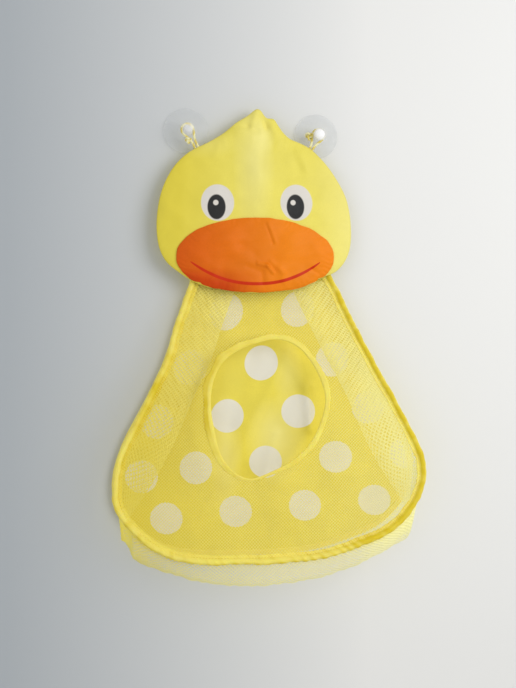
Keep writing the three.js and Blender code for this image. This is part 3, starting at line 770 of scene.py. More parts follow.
def cord_yarn(colours):
    """The hanging cord: a cream and a yellow ply, with fine fibres across them."""
    made = Finish("twisted_cord", colours.cord_cream, 0.6, sheen_weight=0.1, sheen_roughness=0.5)
    fibres, plies = (made.node("TexWave", {"Vector": made.cloth_map(), "Scale": scale, "Distortion": bend},
                               bands_direction="DIAGONAL")[1] for scale, bend in ((900.0, 2.0), (62.0, 0.5)))
    tone = made.blend(made.ramp(plies, 0.35, 0.65), colours.binding_gold, colours.cord_cream)
    made.relief((fibres, 0.08 * MM))
    return made.set(base_color=made.blend(made.ramp(fibres, 0, 1, 0, 0.25), tone, (1, 1, 1)))


def clear_vinyl(colours):
    """Soft clear plastic: seen through where it faces the eye, with painted shade at its edges. From 9 to 17
    mm off the wall the knob is white, shown faintly on the left cup and strongly on the right one as a
    painted highlight, and a painted glint marks each knob's tip."""
    made = Finish("clear_vinyl", colours.vinyl_clear, 0.14, ior=1.45, coat_weight=0.3)
    facing_edge = made.node("LayerWeight", {"Blend": 0.3})["Facing"]
    haze = made.noise(140, 3)
    x, y, _ = made.axes()
    thick = made.ramp(y, -0.009, -0.017)
    # Painted highlight on the right cup's knob, and a painted glint at each knob's tip
    core = made.times(made.ramp(facing_edge, 0.1, 0.24, 1, 0.1), made.ramp(x, 0, 0.03, 0.04, 0.85))
    knob = made.times(thick, made.math("MAXIMUM", core, made.ramp(y, -0.0225, -0.0235, 0, 0.3)))
    body = made.math("ADD", made.ramp(facing_edge, 0.35, 0.98, 0.1, 0.45), made.ramp(haze, 0.3, 0.7, 0, 0.05))
    # Painted shade: the edges, where the surface turns away from the eye, are greyer
    rim = made.blend(made.ramp(facing_edge, 0.3, 0.95), colours.vinyl_clear, shade(colours.vinyl_clear, 0.6))
    made.relief((haze, 0.12 * MM))
    return made.set(alpha=made.math("MINIMUM", made.math("ADD", body, knob), 0.92),
                    base_color=made.blend(thick, rim, (1, 1, 1)))


def foam(colours):
    """The wadding's open-celled foam, with painted shade in its cells' pits."""
    made = Finish("white_foam", colours.foam_white, 0.95)
    cells = made.node("TexVoronoi", {"Vector": made.place(), "Scale": 700.0})[0]
    made.relief((cells, 0.5 * MM))
    # Painted shade: darker towards the cells' pits
    return made.set(base_color=made.blend(made.ramp(cells, 0, 0.6), shade(colours.foam_white, 0.8),
                                          colours.foam_white))


def drawn_steel(colours):
    """Spring wire: fine drawing marks and a dull grey shine."""
    made = Finish("spring_steel", colours.steel_grey, 0.32, metallic=1.0)
    marks = made.noise(1400, 2)
    made.relief((marks, 0.03 * MM))
    return made.set(roughness=made.ramp(marks, 0.3, 0.7, 0.24, 0.42))


# Settings that a user would change

def length(label, description, default):
    return bpy.props.FloatProperty(name=label, description=description, default=default * MM,
                                   unit="LENGTH", precision=5)


def colour(label, description, red, green, blue):
    """A colour property whose default is written as 8-bit screen values."""
    linear = [((c / 255 + 0.055) / 1.055) ** 2.4 if c > 10 else c / 255 / 12.92 for c in (red, green, blue)]
    return bpy.props.FloatVectorProperty(name=label, description=description, default=linear,
                                         subtype="COLOR", size=3, min=0, max=1)


class ToyBagSizes(bpy.types.PropertyGroup):
    """Sizes of the bag's cloth, net and trim."""

    cloth_thickness: length("Cloth thickness", "Thickness of the head's and the beak's cloth", 0.8)
    panel_thickness: length("Panel thickness", "Thickness of the coated back panel", 1.0)
    net_pitch: length("Net pitch", "Distance between neighbouring strands of the front net", 2.2)
    gusset_pitch: length("Gusset pitch", "Distance between neighbouring strands of the gusset net", 2.9)
    strand_radius: length("Strand radius", "Half the width of a strand of net", 0.22)
    gusset_width: length("Gusset width", "Width of the gusset's strip before it is folded", 86)
    cord_diameter: length("Cord diameter", "Diameter of the hanging cord", 2.4)
    stitch_length: length("Stitch length", "Length of one stitch of the seams", 2.2)
    pucker_length: length("Pucker length", "Distance between the gathers of the hoop's sleeve", 10.5)


class ToyBagColours(bpy.types.PropertyGroup):
    """Colours of the bag's materials."""

    head_yellow: colour("Head", "Satin of the head", 238, 224, 96)
    head_deep: colour("Head, deep", "Shaded side of the head", 228, 210, 64)
    head_pale: colour("Head, pale", "Where the head's satin catches the light", 246, 238, 158)
    beak_orange: colour("Beak", "Light side of the beak", 246, 136, 16)
    beak_deep: colour("Beak, deep", "Shaded side of the beak", 210, 70, 4)
    smile_red: colour("Smile", "The line of the smile", 206, 48, 10)
    eye_white: colour("Eye white", "Printed whites of the eyes", 222, 217, 208)
    pupil_black: colour("Pupil", "Printed pupils", 30, 31, 31)
    panel_yellow: colour("Back panel", "Ground of the dotted cloth", 238, 222, 84)
    dot_cream: colour("Dots", "Dots of the back panel", 232, 229, 217)
    binding_pale: colour("Binding", "Light side of the binding tapes", 250, 234, 112)
    # Gold side of the tapes, also used for their painted shade
    binding_gold: colour("Binding, gold", "Gold side of the binding tapes", 226, 203, 34)
    net_yellow: colour("Front net", "Yarn of the front net", 250, 239, 143)
    net_deep: colour("Nets, left", "Shaded side of the nets", 236, 222, 84)
    net_pale: colour("Nets, right", "Lit side of the nets", 255, 252, 192)
    gusset_pale: colour("Gusset net", "Yarn of the gusset net", 252, 243, 148)
    gusset_hanging: colour("Gusset net, hanging", "The gusset's yarn below the hoop", 239, 235, 188)
    cord_cream: colour("Cord", "Pale ply of the hanging cord", 246, 240, 176)
    vinyl_clear: colour("Suction cups", "Clear vinyl", 226, 230, 231)
    foam_white: colour("Wadding", "Foam in the head", 242, 239, 230)
    steel_grey: colour("Wire", "Spring steel", 150, 153, 157)
    wall_pale: colour("Wall", "Lit side of the backdrop", 233, 233, 231)
    wall_grey: colour("Wall, grey", "Shaded side of the backdrop", 176, 182, 187)


def settings(context):
    return context.scene.toy_bag_sizes, context.scene.toy_bag_colours


# Operators

CUP_PROFILE = np.array([
    [0, 3.6], [4, 3.5], [7.8, 3.1], [14.6, 1.75], [18.8, 0.35], [19.5, 0], [20.6, 0], [22.2, 0],
    [22.5, 0.25], [22.5, 0.95], [22.1, 1.25], [20.5, 1.75], [16.65, 3.5], [11.25, 5.9], [7.4, 7.3],
    [5.2, 7.9], [4.2, 8.7], [4, 10], [4, 15.2], [4.2, 16.5], [5.2, 17.1], [6.1, 17.7], [6.5, 19.3],
    [6.2, 21], [5, 22.7], [3, 23.7], [0, 24],
]) * MM


class TOYBAG_OT_suction_cups(bpy.types.Operator):
    """Two moulded suction cups with mushroom knobs, turned from one profile and subdivided"""

    bl_idname = "toybag.suction_cups"
    bl_label = "Suction cups"

    def execute(self, context):
        _, colours = settings(context)
        vinyl = clear_vinyl(colours)
        angles = circle(32)
        radius, height = CUP_PROFILE[:, :1], CUP_PROFILE[:, 1:]
        for side in ("left", "right"):
            node = side + "_suction_cup"
            middle = box_middle(node)
            points = np.stack(np.broadcast_arrays(
                middle.x + radius * np.cos(angles), -height, middle.z + radius * np.sin(angles)), -1)
            cup = piece(surface(side + "_cup_vinyl", points), vinyl, node)
            finer = cup.modifiers.new("smooth", "SUBSURF")
            finer.levels = finer.render_levels = 2
        return {"FINISHED"}


# The cord's arc round a cup's neck, and each knot's place beside and below it and size, in millimetres
CORD_ARC = 5.7
KNOTS = {"left": (1.0, -10.8, 0.85), "right": (-9.5, -1.2, 1.15)}


def loop_route(name):
    """The route of a hanging cord, as the frame has it: up from the head's edge, over the cup's neck and
    down again. It starts and ends just inside the head's seam."""
    centre = np.array(box_middle(name + "_suction_cup"))[[0, 2]]
    towards = unit(np.array([8.6 if name == "left" else -8.6, -16.2]))
    across = np.array([-towards[1], towards[0]])
    angles = np.radians(np.linspace(-7, 187, 11))
    arc = CORD_ARC * np.stack([-np.sin(angles), -np.cos(angles)], 1)
    strand = np.array([[21.5, -1.7], [17.5, -1.7], [13.4, -1.75], [7, -3.6]])
    plan = np.concatenate([strand, arc, strand[::-1] * [1, -1]]) * MM
    flat = centre + plan[:, :1] * towards + plan[:, 1:] * across
    return spline(np.insert(flat, 1, -HANG_DISTANCE, 1), 150, closed=False)


def knot_route(path, beside, below, size):
    """The knot at the cup's neck, a trefoil: x = sin t + 2 sin 2t, z = cos t - 2 cos 2t, y = -1.6 sin 3t.
    Its place is counted from 5.5 mm down the loop."""
    top, foot = path[len(path) // 2], path[[0, -1]].mean(0)
    centre = top + unit(foot - top) * 5.5 * MM + [beside * MM, 0, below * MM]
    t = np.linspace(0, TURN, 120)
    return centre + np.stack([np.sin(t) + 2 * np.sin(2 * t), -1.6 * np.sin(3 * t),
                              np.cos(t) - 2 * np.cos(2 * t)], 1) * (size * MM)


class TOYBAG_OT_hanging_loops(bpy.types.Operator):
    """Two loops of twisted cord from the head over the cups' necks, each with its knot"""

    bl_idname = "toybag.hanging_loops"
    bl_label = "Hanging loops"

    def execute(self, context):
        sizes, colours = settings(context)
        look = cord_yarn(colours)
        for name, knot in KNOTS.items():
            node = name + "_hanging_loop"
            path = loop_route(name)
            cord = piece(tube(name + "_cord", path, sizes.cord_diameter / 2, 16), look, node)
            tied = tube(name + "_cord_knot", knot_route(path, *knot), sizes.cord_diameter * 0.46, 12)
            tied = piece(tied, look, node, replaces=False)
        return {"FINISHED"}


class TOYBAG_OT_head(bpy.types.Operator):
    """The padded head: a crowned and creased front cloth with printed eyes, wadding, and a back cloth"""

    bl_idname = "toybag.head"
    bl_label = "Head"

    def execute(self, context):
        sizes, colours = settings(context)
        x, z = HEAD.disc(crowded(76, 1.35), 2)
        front = np.stack([x, -head_front_distance(x, z), z], -1)
        cover = piece(surface("head_front_cloth", front), yellow_satin(colours), "head_front_panel",
                      rides=False, thickness=sizes.cloth_thickness)
        lip_follows_net(cover)
        self.back(sizes, colours)
        self.wadding(colours)
        return {"FINISHED"}

    def back(self, sizes, colours):
        """The back cloth: dished towards the wall by 1 - share^2.2, its lower edge at the neck."""
        shares = crowded(40, 1.3)
        x, z = HEAD.disc(shares, 4)
        z = np.maximum(z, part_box("head_back_panel")[0].z)
        share = shares[:, None]
        away = seam_distance(z) - 0.8 * MM - 5 * MM * (1 - share ** 2.2)
        away = away + (1 - share ** 6) * 0.5 * MM * ripple(14, 0.04, x, z)
        back = piece(surface("head_back_cloth", np.stack([x, -away, z], -1)),
                     plain_satin("plain_yellow_satin", colours).material, "head_back_panel",
                     thickness=sizes.cloth_thickness)

    def wadding(self, colours):
        """The wadding between the cloths: the outline drawn in by 6%, as thick as the room for it."""
        shares = np.linspace(0, 1, 30)
        shares = np.concatenate([shares, shares[::-1]])
        x, z = HEAD.disc(shares * 0.94, 6)
        z = np.maximum(z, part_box("head_padding")[0].z)
        share = shares[:, None]
        thick = crown(share, 8)
        outer = seam_distance(z) + (head_front_distance(x, z) - seam_distance(z) - 1.6 * MM) * thick
        inner = seam_distance(z) - 3.2 * MM * thick * (1 - (share * 0.94) ** 2.2)
        away = np.where(np.arange(60)[:, None] < 30, outer, inner)
        pad = piece(surface("head_wadding", np.stack([x, -away, z], -1)), foam(colours), "head_padding")


BEAK_MIDDLE = 0.8 * MM, -123 * MM
# Nicks in the beak's cut edge: angle round it, depth and width as shares and angles
BEAK_NICKS = [(-0.62, 0.028, 0.05), (-2.34, 0.02, 0.04), (-2.02, 0.014, 0.03), (-1.35, 0.012, 0.03)]
# Creases of the beak, for creased
BEAK_CREASES = [
    (9.5, -91, 16.5, -110, 1.5, -0.75), (12, -91, 19, -109, 2.2, 0.9), (2, -130, 11, -132, 2, 1.6),
    (11, -132, 17, -139, 1.8, 1.5), (15, -128, 27, -139, 2.6, 1.1), (6, -139, 7, -148, 3.6, -1.7),
    (-8, -133, 1, -137, 3, -0.8), (-30, -100, -22, -118, 8, 1.0), (40, -98, 34, -120, 9, 1.1),
    (56, -135, 67, -142, 2.2, -1.3), (-64, -118, -52, -126, 6, 0.9), (60, -112, 68, -128, 5, 0.9),
    (-44, -146, -38, -136, 4, 0.8), (28, -146, 24, -134, 4, 0.9), (-14, -112, -2, -120, 5, -0.9),
    (-40, -108, -18, -104, 5, 0.7), (-50, -130, -20, -138, 6, 0.7),
]


def beak_rim(angle):
    """The beak's cut edge round its middle: half an ellipse above, and below it a fuller curve with
    exponent 2.25; the cut wanders by half a millimetre and has a few nicks."""
    c, s = np.cos(angle), np.sin(angle)
    full = np.where(s < 0, 2 / 2.25, 1.0)
    x = 78.2 * MM * signed_power(c, full)
    z = np.where(s > 0, 37.5 * MM, 35.2 * MM) * signed_power(s, full)
    nicks = sum(depth * bell((angle - at + math.pi) % TURN - math.pi, width)
                for at, depth, width in BEAK_NICKS)
    wander = 1 - nicks + 0.006 * ripple(31, 0.018, x, z)
    return x * wander, z * wander


def smile_distance(x, z):
    """How many half widths of its stroke a place lies from the smile, z = lowest + climb * |x / half|^2.2."""
    half, lowest, climb = 65 * MM, -149.9 * MM, 21.8 * MM
    across = np.abs(x - 0.2 * MM) / half
    slope = climb / half * 2.2 * across ** 1.2
    stroke = 1.55 * MM * crown(across, 6, 0.001)
    return np.abs(z - lowest - climb * across ** 2.2) / np.sqrt(1 + slope ** 2) / stroke + 10 * (across > 1)


class TOYBAG_OT_beak(bpy.types.Operator):
    """The orange beak: a puffed cloth with creases, a raw cut edge and a smile"""

    bl_idname = "toybag.beak"
    bl_label = "Beak"

    def execute(self, context):
        sizes, colours = settings(context)
        angle = circle(480)
        share = crowded(64, 1.25)[:, None]
        x, z = (middle + rim * share for middle, rim in zip(BEAK_MIDDLE, beak_rim(angle)))
        puckers = 0.16 * MM * np.sin(37 * angle + 5 * ripple(32, 0.03, x, z)) * smoothstep(share, 0.7, 1)
        creases = creased(BEAK_CREASES, x, z, 0.35 * MM * ripple(33, 0.02, x, z))
        rise = 1.0 * MM + 2.4 * MM * (1 - share ** 5) + puckers + creases * (1 - share ** 8)
        points = np.stack([x, -head_front_distance(x, z) - rise, z], -1)
        beak = piece(surface("beak_cloth", points, smile=np.minimum(smile_distance(x, z), 10)),
                     orange_satin(colours), "beak_panel", rides=False,
                     thickness=sizes.cloth_thickness)
        lip_follows_net(beak)
        return {"FINISHED"}


HOOP_SECTION = mirrored([
    [2.95, 0], [2.6, 1.45], [1.55, 2.5], [0.1, 2.9], [-1.3, 2.5], [-2.3, 1.6], [-2.9, 0.7], [-3.5, 0.3],
    [-4.6, 0.25], [-5.7, 0.25], [-6.3, 0.2], [-6.45, 0],
])
# How gold the hoop's tape is at its outer edge, along its tube and on its flange, at angles round the bag
# in degrees from the right: elsewhere its pale side shows. The gold is partly the tape's gold side where it
# is folded to show, and partly painted shade: the gold core on the right stands for the tube's shaded side,
# and the gold edge below for the shadow under the tube
HOOP_GOLD = [
    (0, 0.3, 1, 0.1), (40, 0.25, 1, 0.1), (70, 0.2, 0.8, 0.15), (90, 0.25, 0.4, 0.2),
    (115, 0.1, 0.15, 0.3), (141, 0.1, 0.15, 0.35), (149, 0.15, 0.3, 0.5), (155, 0.25, 0.7, 0.9),
    (172, 0.3, 0.8, 1), (178, 0.15, 0.25, 0.8), (186, 0.05, 0.05, 0.7), (197, 0.1, 0.05, 0.4),
    (205, 0.5, 0.3, 0.1), (217, 0.6, 0.3, 0), (228, 0.45, 0.05, 0), (262, 0.5, 0, 0.05),
    (290, 0.6, 0.05, 0.1), (303, 0.5, 0.3, 0.3), (311, 0.8, 1, 0.8), (336, 0.8, 1, 0.7),
    (348, 0.3, 1, 0.2),
]


def round_table(table, outline):
    """A table's columns, given at angles in degrees, read at each place of an outline."""
    at, *columns = np.array(table, float).T
    return [np.interp(np.degrees(outline.angle), at, column, period=360) for column in columns]


class TOYBAG_OT_hoop(bpy.types.Operator):
    """The gathered binding sleeve round the spring wire, with its stitched flange"""

    bl_idname = "toybag.hoop"
    bl_label = "Hoop"

    def execute(self, context):
        sizes, colours = settings(context)
        x, up = BAG.place.T
        degrees = np.degrees(BAG.angle)
        section = HOOP_SECTION[:, :1]
        gathers = BAG.gathers(round(BAG.length / sizes.pucker_length))
        wave = np.sin(gathers + 2.0 * circle(len(section))[:, None] + 3.5 * ripple(41, 0.06, x, up))
        under = bell(degrees + 66, 22) + 0.35 * bell(degrees + 110, 30)
        strength = 0.35 + 0.4 * np.abs(ripple(43, 0.05, x, up)) + 1.2 * under
        size = 1 + 0.08 * strength * wave * (section > -3 * MM) + 0.05 * ripple(42, 0.015, x, up)
        edge, core, flange = round_table(HOOP_GOLD, BAG)
        # Gold of the tape's gold side and painted shade, read from the table; below the bag the gold also
        # follows the gathers' waves
        gilt = mix(mix(core, edge, smoothstep(section, 0.9 * MM, 2 * MM)), flange,
                   smoothstep(-section, 2 * MM, 3 * MM))
        gilt = np.clip(gilt + 0.5 * wave * under + 0.25 * ripple(44, 0.012, x, up), 0, 1)
        mesh = sweep("hoop_sleeve_tape", BAG, HOOP_SECTION, on_front, size=size,
                     shift=0.5 * MM * ripple(45, 0.03, x, up), gilt=gilt)
        sleeve = piece(mesh, binding_cloth("hoop_binding", colours), "front_hoop_sleeve")
        sleeve.visible_shadow = False
        seam = on_front(*(BAG.place + BAG.outwards * -3.3 * MM).T, 0.45 * MM)
        thread = net_yarn("hoop_thread", *[colours.binding_gold] * 3)
        row = stitches("hoop_stitches", seam, on_front(x, up, 1) - on_front(x, up, 0),
                       sizes.stitch_length * 1.35, sizes.stitch_length, 0.22 * MM)
        piece(row, thread, "front_hoop_sleeve", replaces=False)
        steel = drawn_steel(colours)
        for name in ("front_hoop_wire", "hoop_wire_ferrule"):
            materials = frame["nodes"][name].data.materials
            materials.clear()
            materials.append(steel)
        return {"FINISHED"}


MOUTH_SECTION = mirrored([
    [0, 0], [0.12, 0.75], [0.7, 1.2], [1.7, 1.35], [3, 1.25], [4.3, 1.1], [5.05, 0.6], [5.2, 0],
])
# The mouth's tape at angles round the mouth: its size, its shift outwards in millimetres, its turn, and
# how gold its outer and inner parts are. The gold is partly the tape's gold side and partly painted shade,
# most on the left where the tape curls back
MOUTH_FOLD = [
    (0, 1.05, 0, 0.1, 0.05, 0), (45, 1.15, 0, 0.1, 0, 0), (78, 1, 0, 0, 0.05, 0.1),
    (100, 1.1, -0.8, 0, 0.25, 0.35), (125, 1.4, -2.6, 0, 0.45, 0.4), (150, 1.6, -3.4, -0.1, 0.7, 0.3),
    (175, 1.7, -3.8, -0.2, 0.85, 0.1), (197, 1.6, -3.1, -0.2, 0.8, 0), (207, 1.45, -2.4, -0.2, 0.35, 0.15),
    (228, 1.3, -1.6, -0.2, 0.2, 0.3), (245, 0.85, -0.6, -0.4, 0.05, 0.1), (257, 0.5, 0, -0.5, 0, 0),
    (272, 0.6, 0, -0.4, 0.05, 0.1), (293, 0.95, 0, 0, 0.35, 0.3), (325, 1.1, 0, 0.1, 0.1, 0.05),
]


# How far the net's knots stay inside the bag's outline and outside the mouth's, and the mouth's half size
NET_INSIDE_HOOP, NET_OUTSIDE_MOUTH, MOUTH_HALF = 0.8 * MM, 1.6 * MM, 60 * MM


class TOYBAG_OT_front_net(bpy.types.Operator):
    """The front net, real strands on a diamond lattice from the hoop to the mouth, and the mouth's tape"""

    bl_idname = "toybag.front_net"
    bl_label = "Front net and mouth"

    def execute(self, context):
        sizes, colours = settings(context)
        step = sizes.net_pitch / math.sqrt(2)
        low, high = BAG.place.min(0) - 2 * step, BAG.place.max(0) + 2 * step
        x, up = np.meshgrid(*(start + step * np.arange(int(count))
                              for start, count in zip(low, (high - low) / step)), indexing="ij")
        x, up = x + 0.5 * MM * ripple(51, 0.03, x, up), up + 0.5 * MM * ripple(52, 0.03, x, up)
        inside = BAG.share(x, up) < 1 - NET_INSIDE_HOOP / BAG.ray(x, up)
        outside = (MOUTH.share(x, up) - 1) * MOUTH_HALF > NET_OUTSIDE_MOUTH
        yarn = net_yarn("front_net_yarn", colours.net_yellow, colours.net_deep, colours.net_pale)
        mesh = strands("front_net_strands", on_front(x, up, net_swell(x, up)), inside & outside,
                       1.14 * sizes.strand_radius, 1.4, -1)
        net = piece(mesh, yarn, "front_net_panel", smooth=False)
        net.visible_shadow = False
        self.binding(colours)
        return {"FINISHED"}

    def binding(self, colours):
        """The mouth's folded tape: broad and gold on the left, partly as painted shade, narrow below and pale
        on the right.
        """
        x, up = MOUTH.place.T
        size, shift, turn, outer, inner = round_table(MOUTH_FOLD, MOUTH)
        size = size * (1 + 0.03 * np.sin(MOUTH.gathers(48) + 2 * ripple(54, 0.03, x, up))
                       + 0.1 * ripple(56, 0.025, x, up))
        # Gold of the tape's gold side and painted shade, read from the table
        gilt = mix(inner, outer, smoothstep(MOUTH_SECTION[:, :1], 1.7 * MM, 2.5 * MM))
        gilt = np.clip(gilt + 0.1 * ripple(55, 0.02, x, up), 0, 1)
        mesh = sweep("mouth_tape", MOUTH, MOUTH_SECTION, on_front, net_swell(x, up),
                     turn + 0.06 * ripple(53, 0.05, x, up), size, shift * MM, gilt=gilt)
        return piece(mesh, binding_cloth("mouth_binding_cloth", colours), "mouth_binding")


# Creases of the back panel, for creased
BACK_CREASES = [
    (-20, -170, -34, -270, 12, 1.2), (32, -226, -28, -346, 8, 2.6), (54, -252, 57.5, -294, 5, 2.6),
    (34, -219, 54, -252, 6, 1.8), (57.5, -294, 36, -328, 7, 2.0), (2, -215, -22, -290, 9, -1.4),
    (62, -240, 58, -310, 9, 1.2), (24, -300, 10, -345, 6, 1.4), (70, -240, 100, -340, 14, 1.5),
    (-80, -290, -50, -380, 14, 1.6), (-20, -350, 40, -395, 12, 1.2),
    (60, -370, 120, -340, 10, -1.2), (12, -180, 24, -215, 7, 1.1), (-112, -330, -92, -380, 9, 1.0),
]


def dot_map(x, z):
    """Counts the dots across and their rows down at each place of the back panel, for its map.

    Both are second-degree in x and z, as the slack cloth hangs. A tuck at the left edge moves one dot
    inwards, and the cloth is drawn out below the last row.
    """
    a, b = x / 0.1, (z + 0.28) / 0.1
    across = 0.356 + 1.405 * a + 0.067 * b - 0.021 * a * a - 0.016 * a * b - 0.056 * b * b
    down = 2.018 + 0.112 * a - 2.029 * b - 0.02 * a * a - 0.026 * a * b + 0.077 * b * b
    tuck = smoothstep(-across, 0.85, 1) * smoothstep(down, 2.5, 2.7) * smoothstep(-down, -3.62, -3.45)
    across, down = across - 0.215 * tuck, down - 0.075 * tuck
    places = np.stack([across, np.minimum(down, mix(4.36, down, 0.25))], -1)
    return np.concatenate([places, places[:, :1]], 1)


BINDING_SECTION = mirrored([
    [1.05, 0], [0.9, 0.9], [0.1, 1.35], [-1.4, 1.4], [-3.4, 1.3], [-4.7, 1.15], [-5.1, 0.65], [-5.2, 0],
])


class TOYBAG_OT_back(bpy.types.Operator):
    """The dotted back panel with its soft folds, its bound edge and the tape across the neck"""

    bl_idname = "toybag.back"
    bl_label = "Back panel"

    def execute(self, context):
        sizes, colours = settings(context)
        shares = np.linspace(0, 1, 90)
        x, up = BAG.disc(shares, 2)
        z = up + NECK_HEIGHT
        waves = 0.9 * MM * ripple(61, 0.09, x, up) + 0.25 * MM * ripple(62, 0.03, x, up)
        folds = creased(BACK_CREASES, x, z, waves)
        away = 0.5 * MM + (folds + 1.4 * MM) * (1 - shares[:, None] ** 4)
        panel = piece(surface("back_panel_cloth", on_back(x, up, away), dot_map(x, z)), dotted_cloth(colours),
                      "back_panel", thickness=sizes.panel_thickness)
        tape = binding_cloth("back_binding_cloth", colours)
        self.binding(tape)
        self.neck(tape)
        return {"FINISHED"}

    def binding(self, tape):
        """The folded tape round the panel's edge, gathered a little."""
        x, up = BAG.place.T
        size = 1 + 0.05 * np.sin(BAG.gathers(70) + 2 * ripple(63, 0.04, x, up))
        mesh = sweep("back_binding_tape", BAG, BINDING_SECTION, on_back, lift=0.5 * MM, size=size,
                     gilt=np.full((len(BINDING_SECTION), len(x)), 0.2))
        return piece(mesh, tape, "back_seam_binding")

    def neck(self, tape):
        """The tape across the neck, a band with rounded corners and ends, pressed to 0.88 of its depth."""
        low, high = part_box("neck_tape")
        middle, half = (low + high) / 2, (high - low) / 2
        along = np.linspace(low.x, high.x, 120)[:, None]
        angle = circle(28)
        ends = np.clip(np.minimum(along - low.x, high.x - along) / MM, 0, 1) ** 0.4
        wave = 1 + 0.06 * np.sin(along / MM * 1.1)
        y = middle.y + signed_power(np.sin(angle), 0.5) * half.y * 0.88 * (ends * wave)
        z = middle.z + signed_power(np.cos(angle), 0.5) * half.z * ends
        points = np.stack(np.broadcast_arrays(along, y, z), -1)
        uv = np.stack(np.broadcast_arrays(along, np.linspace(0, 14 * MM, 29)), -1)
        piece(surface("neck_tape_cloth", points, uv, gilt=np.full(y.shape, 0.4)), tape, "neck_tape")


# How far below the neck the gusset starts to sag, hangs straight down and ends
SAG_START, SAG_END, BAG_HEIGHT = 0.12, 0.238, 0.2841
GUSSET_STEPS = 96
# The gusset's lowest line seen from the room, in millimetres
GUSSET_HEM = np.array([
    (-136.2, -374.6), (-129, -398), (-121.2, -416.2), (-108, -423.5), (-91, -429.4), (-60.3, -439.8),
    (-29.7, -445.2), (1.7, -447.3), (33.1, -445.3), (64.9, -441.1), (97, -432), (129.1, -418.3),
    (157.5, -398.3),
]) * MM
# The left side is folded in a little deeper, and its corner is drawn aside by this much at this x
GUSSET_LEFT = 1.07
GUSSET_DRAWN, GUSSET_DRAWN_X = 6 * MM, -0.134
# The net's rows lie a little further apart than its columns
GUSSET_ROW_STEP = 1.08


def gusset_table(sizes):
    """The gusset's strip as a grid of places (along the outline, across from hoop to back panel).

    Each row is drawn aside by depth * (1 - |2 share - 1|^k): inwards high at the sides, where k is 1.25,
    and downwards under the bag, where k is 2.4. The shares are then spread so that equal steps across
    are equal lengths of net. Waves gather the strip.
    """
    keep = BAG.place[:, 1] < -12 * MM
    x, up = BAG.place[keep].T
    drop = -up
    front = on_front(x, up, -2.2 * MM)[:, None]
    back = on_back(x, up, 1.6 * MM)[:, None]
    sag = smoothstep(drop, SAG_START, SAG_END) * math.pi / 2
    floor = smoothstep(drop, SAG_END, BAG_HEIGHT)
    inwards = np.where(x < BAG.middle[0], 1, -1)
    direction = np.stack([inwards * np.cos(sag), np.zeros_like(sag), -np.sin(sag)], -1)[:, None]
    span = np.linalg.norm(front - back, axis=-1)[:, 0]
    depth = np.sqrt((sizes.gusset_width / 2) ** 2 - span ** 2 / 4) * mix(1, 0.78, floor)
    depth = depth * np.where(inwards > 0, GUSSET_LEFT, 1)
    travelled = np.arange(len(x)) * BAG.step
    waves = np.sin(TURN * travelled / 0.021 + 2.5 * ripple(71, 0.06, x, up))
    hangs = up + NECK_HEIGHT - np.interp(x, *GUSSET_HEM.T) - 1.2 * MM
    depth = mix(depth, np.maximum(hangs, 4 * MM), smoothstep(drop, 0.215, 0.262)) + 0.2 * MM * waves * floor
    share = np.linspace(0, 1, GUSSET_STEPS + 1)
    arm = np.abs(2 * share - 1)
    pull = (depth[:, None] * (1 - arm ** mix(1.25, 2.4, floor)[:, None]))[..., None]
    table = front + (back - front) * share[:, None] + direction * pull
    drawn = GUSSET_DRAWN * bell(x - GUSSET_DRAWN_X, 0.012) * smoothstep(drop, 0.2, 0.235)
    table[..., 0] += drawn[:, None] * (1 - arm ** 4)
    across = travel(table)
    across /= across[:, -1:]
    row = np.arange(len(table))[:, None]
    even = np.interp((2.0 * row + share).ravel(), (2.0 * row + across).ravel(), np.tile(share, len(row)))
    table = read_grid(table, row, even.reshape(len(row), -1) * GUSSET_STEPS)
    crimp = 0.5 * MM * np.sin(TURN * travelled / 0.013 + 2 * ripple(73, 0.03, x, up))
    fade = np.sin(math.pi * share) * mix(0.4, 1, floor)[:, None]
    return table - facing(table) * (crimp[:, None] * fade)[..., None], travelled[-1]


class TOYBAG_OT_gusset(bpy.types.Operator):
    """The net gusset that joins hoop and back panel, folded in at the sides and sagging below"""

    bl_idname = "toybag.gusset"
    bl_label = "Gusset"

    def execute(self, context):
        sizes, colours = settings(context)
        table, travelled = gusset_table(sizes)
        step = sizes.gusset_pitch / math.sqrt(2)
        columns = int(travelled / step)
        rows = int(round(sizes.gusset_width / step / GUSSET_ROW_STEP)) + 1
        places = read_grid(table, np.linspace(0, len(table) - 1, columns)[:, None],
                           np.linspace(0, table.shape[1] - 1, rows)[None, :])
        share = np.broadcast_to(np.linspace(0, 1, rows), places.shape[:2])
        yarn = net_yarn("gusset_net_yarn", colours.gusset_pale, colours.net_deep, colours.net_pale,
                        colours.gusset_hanging)
        hanging = smoothstep(places[:, :1, 2] - places[..., 2], 2 * MM, 9 * MM)
        hem = bell(share - 0.5, 0.17) * (1 - smoothstep(places[..., 0], -0.05, 0.07))
        edge = (1 - smoothstep(share, 0.3, 0.5)) * smoothstep(places[..., 0], 0.085, 0.12)
        width = mix(mix(2.3, mix(1.4, 2.4, hem), hanging), 3.2, edge)
        mesh = strands("gusset_net_strands", places, np.ones(share.shape, bool),
                       width * sizes.strand_radius, mix(1.4, 0.8, hanging), 1)
        gusset = piece(mesh, yarn, "gusset_net", rides=False, smooth=False)
        gusset.visible_shadow = False
        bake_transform(gusset, "bag_back", "bag_front", start=(0, -BACK_DISTANCE, 0), end=(0, -0.05, 0))
        follow = np.empty(len(mesh.vertices), np.float32)
        mesh.attributes["across"].data.foreach_get("value", follow)
        mesh.attributes["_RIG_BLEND"].data.foreach_set("value", follow)
        return {"FINISHED"}


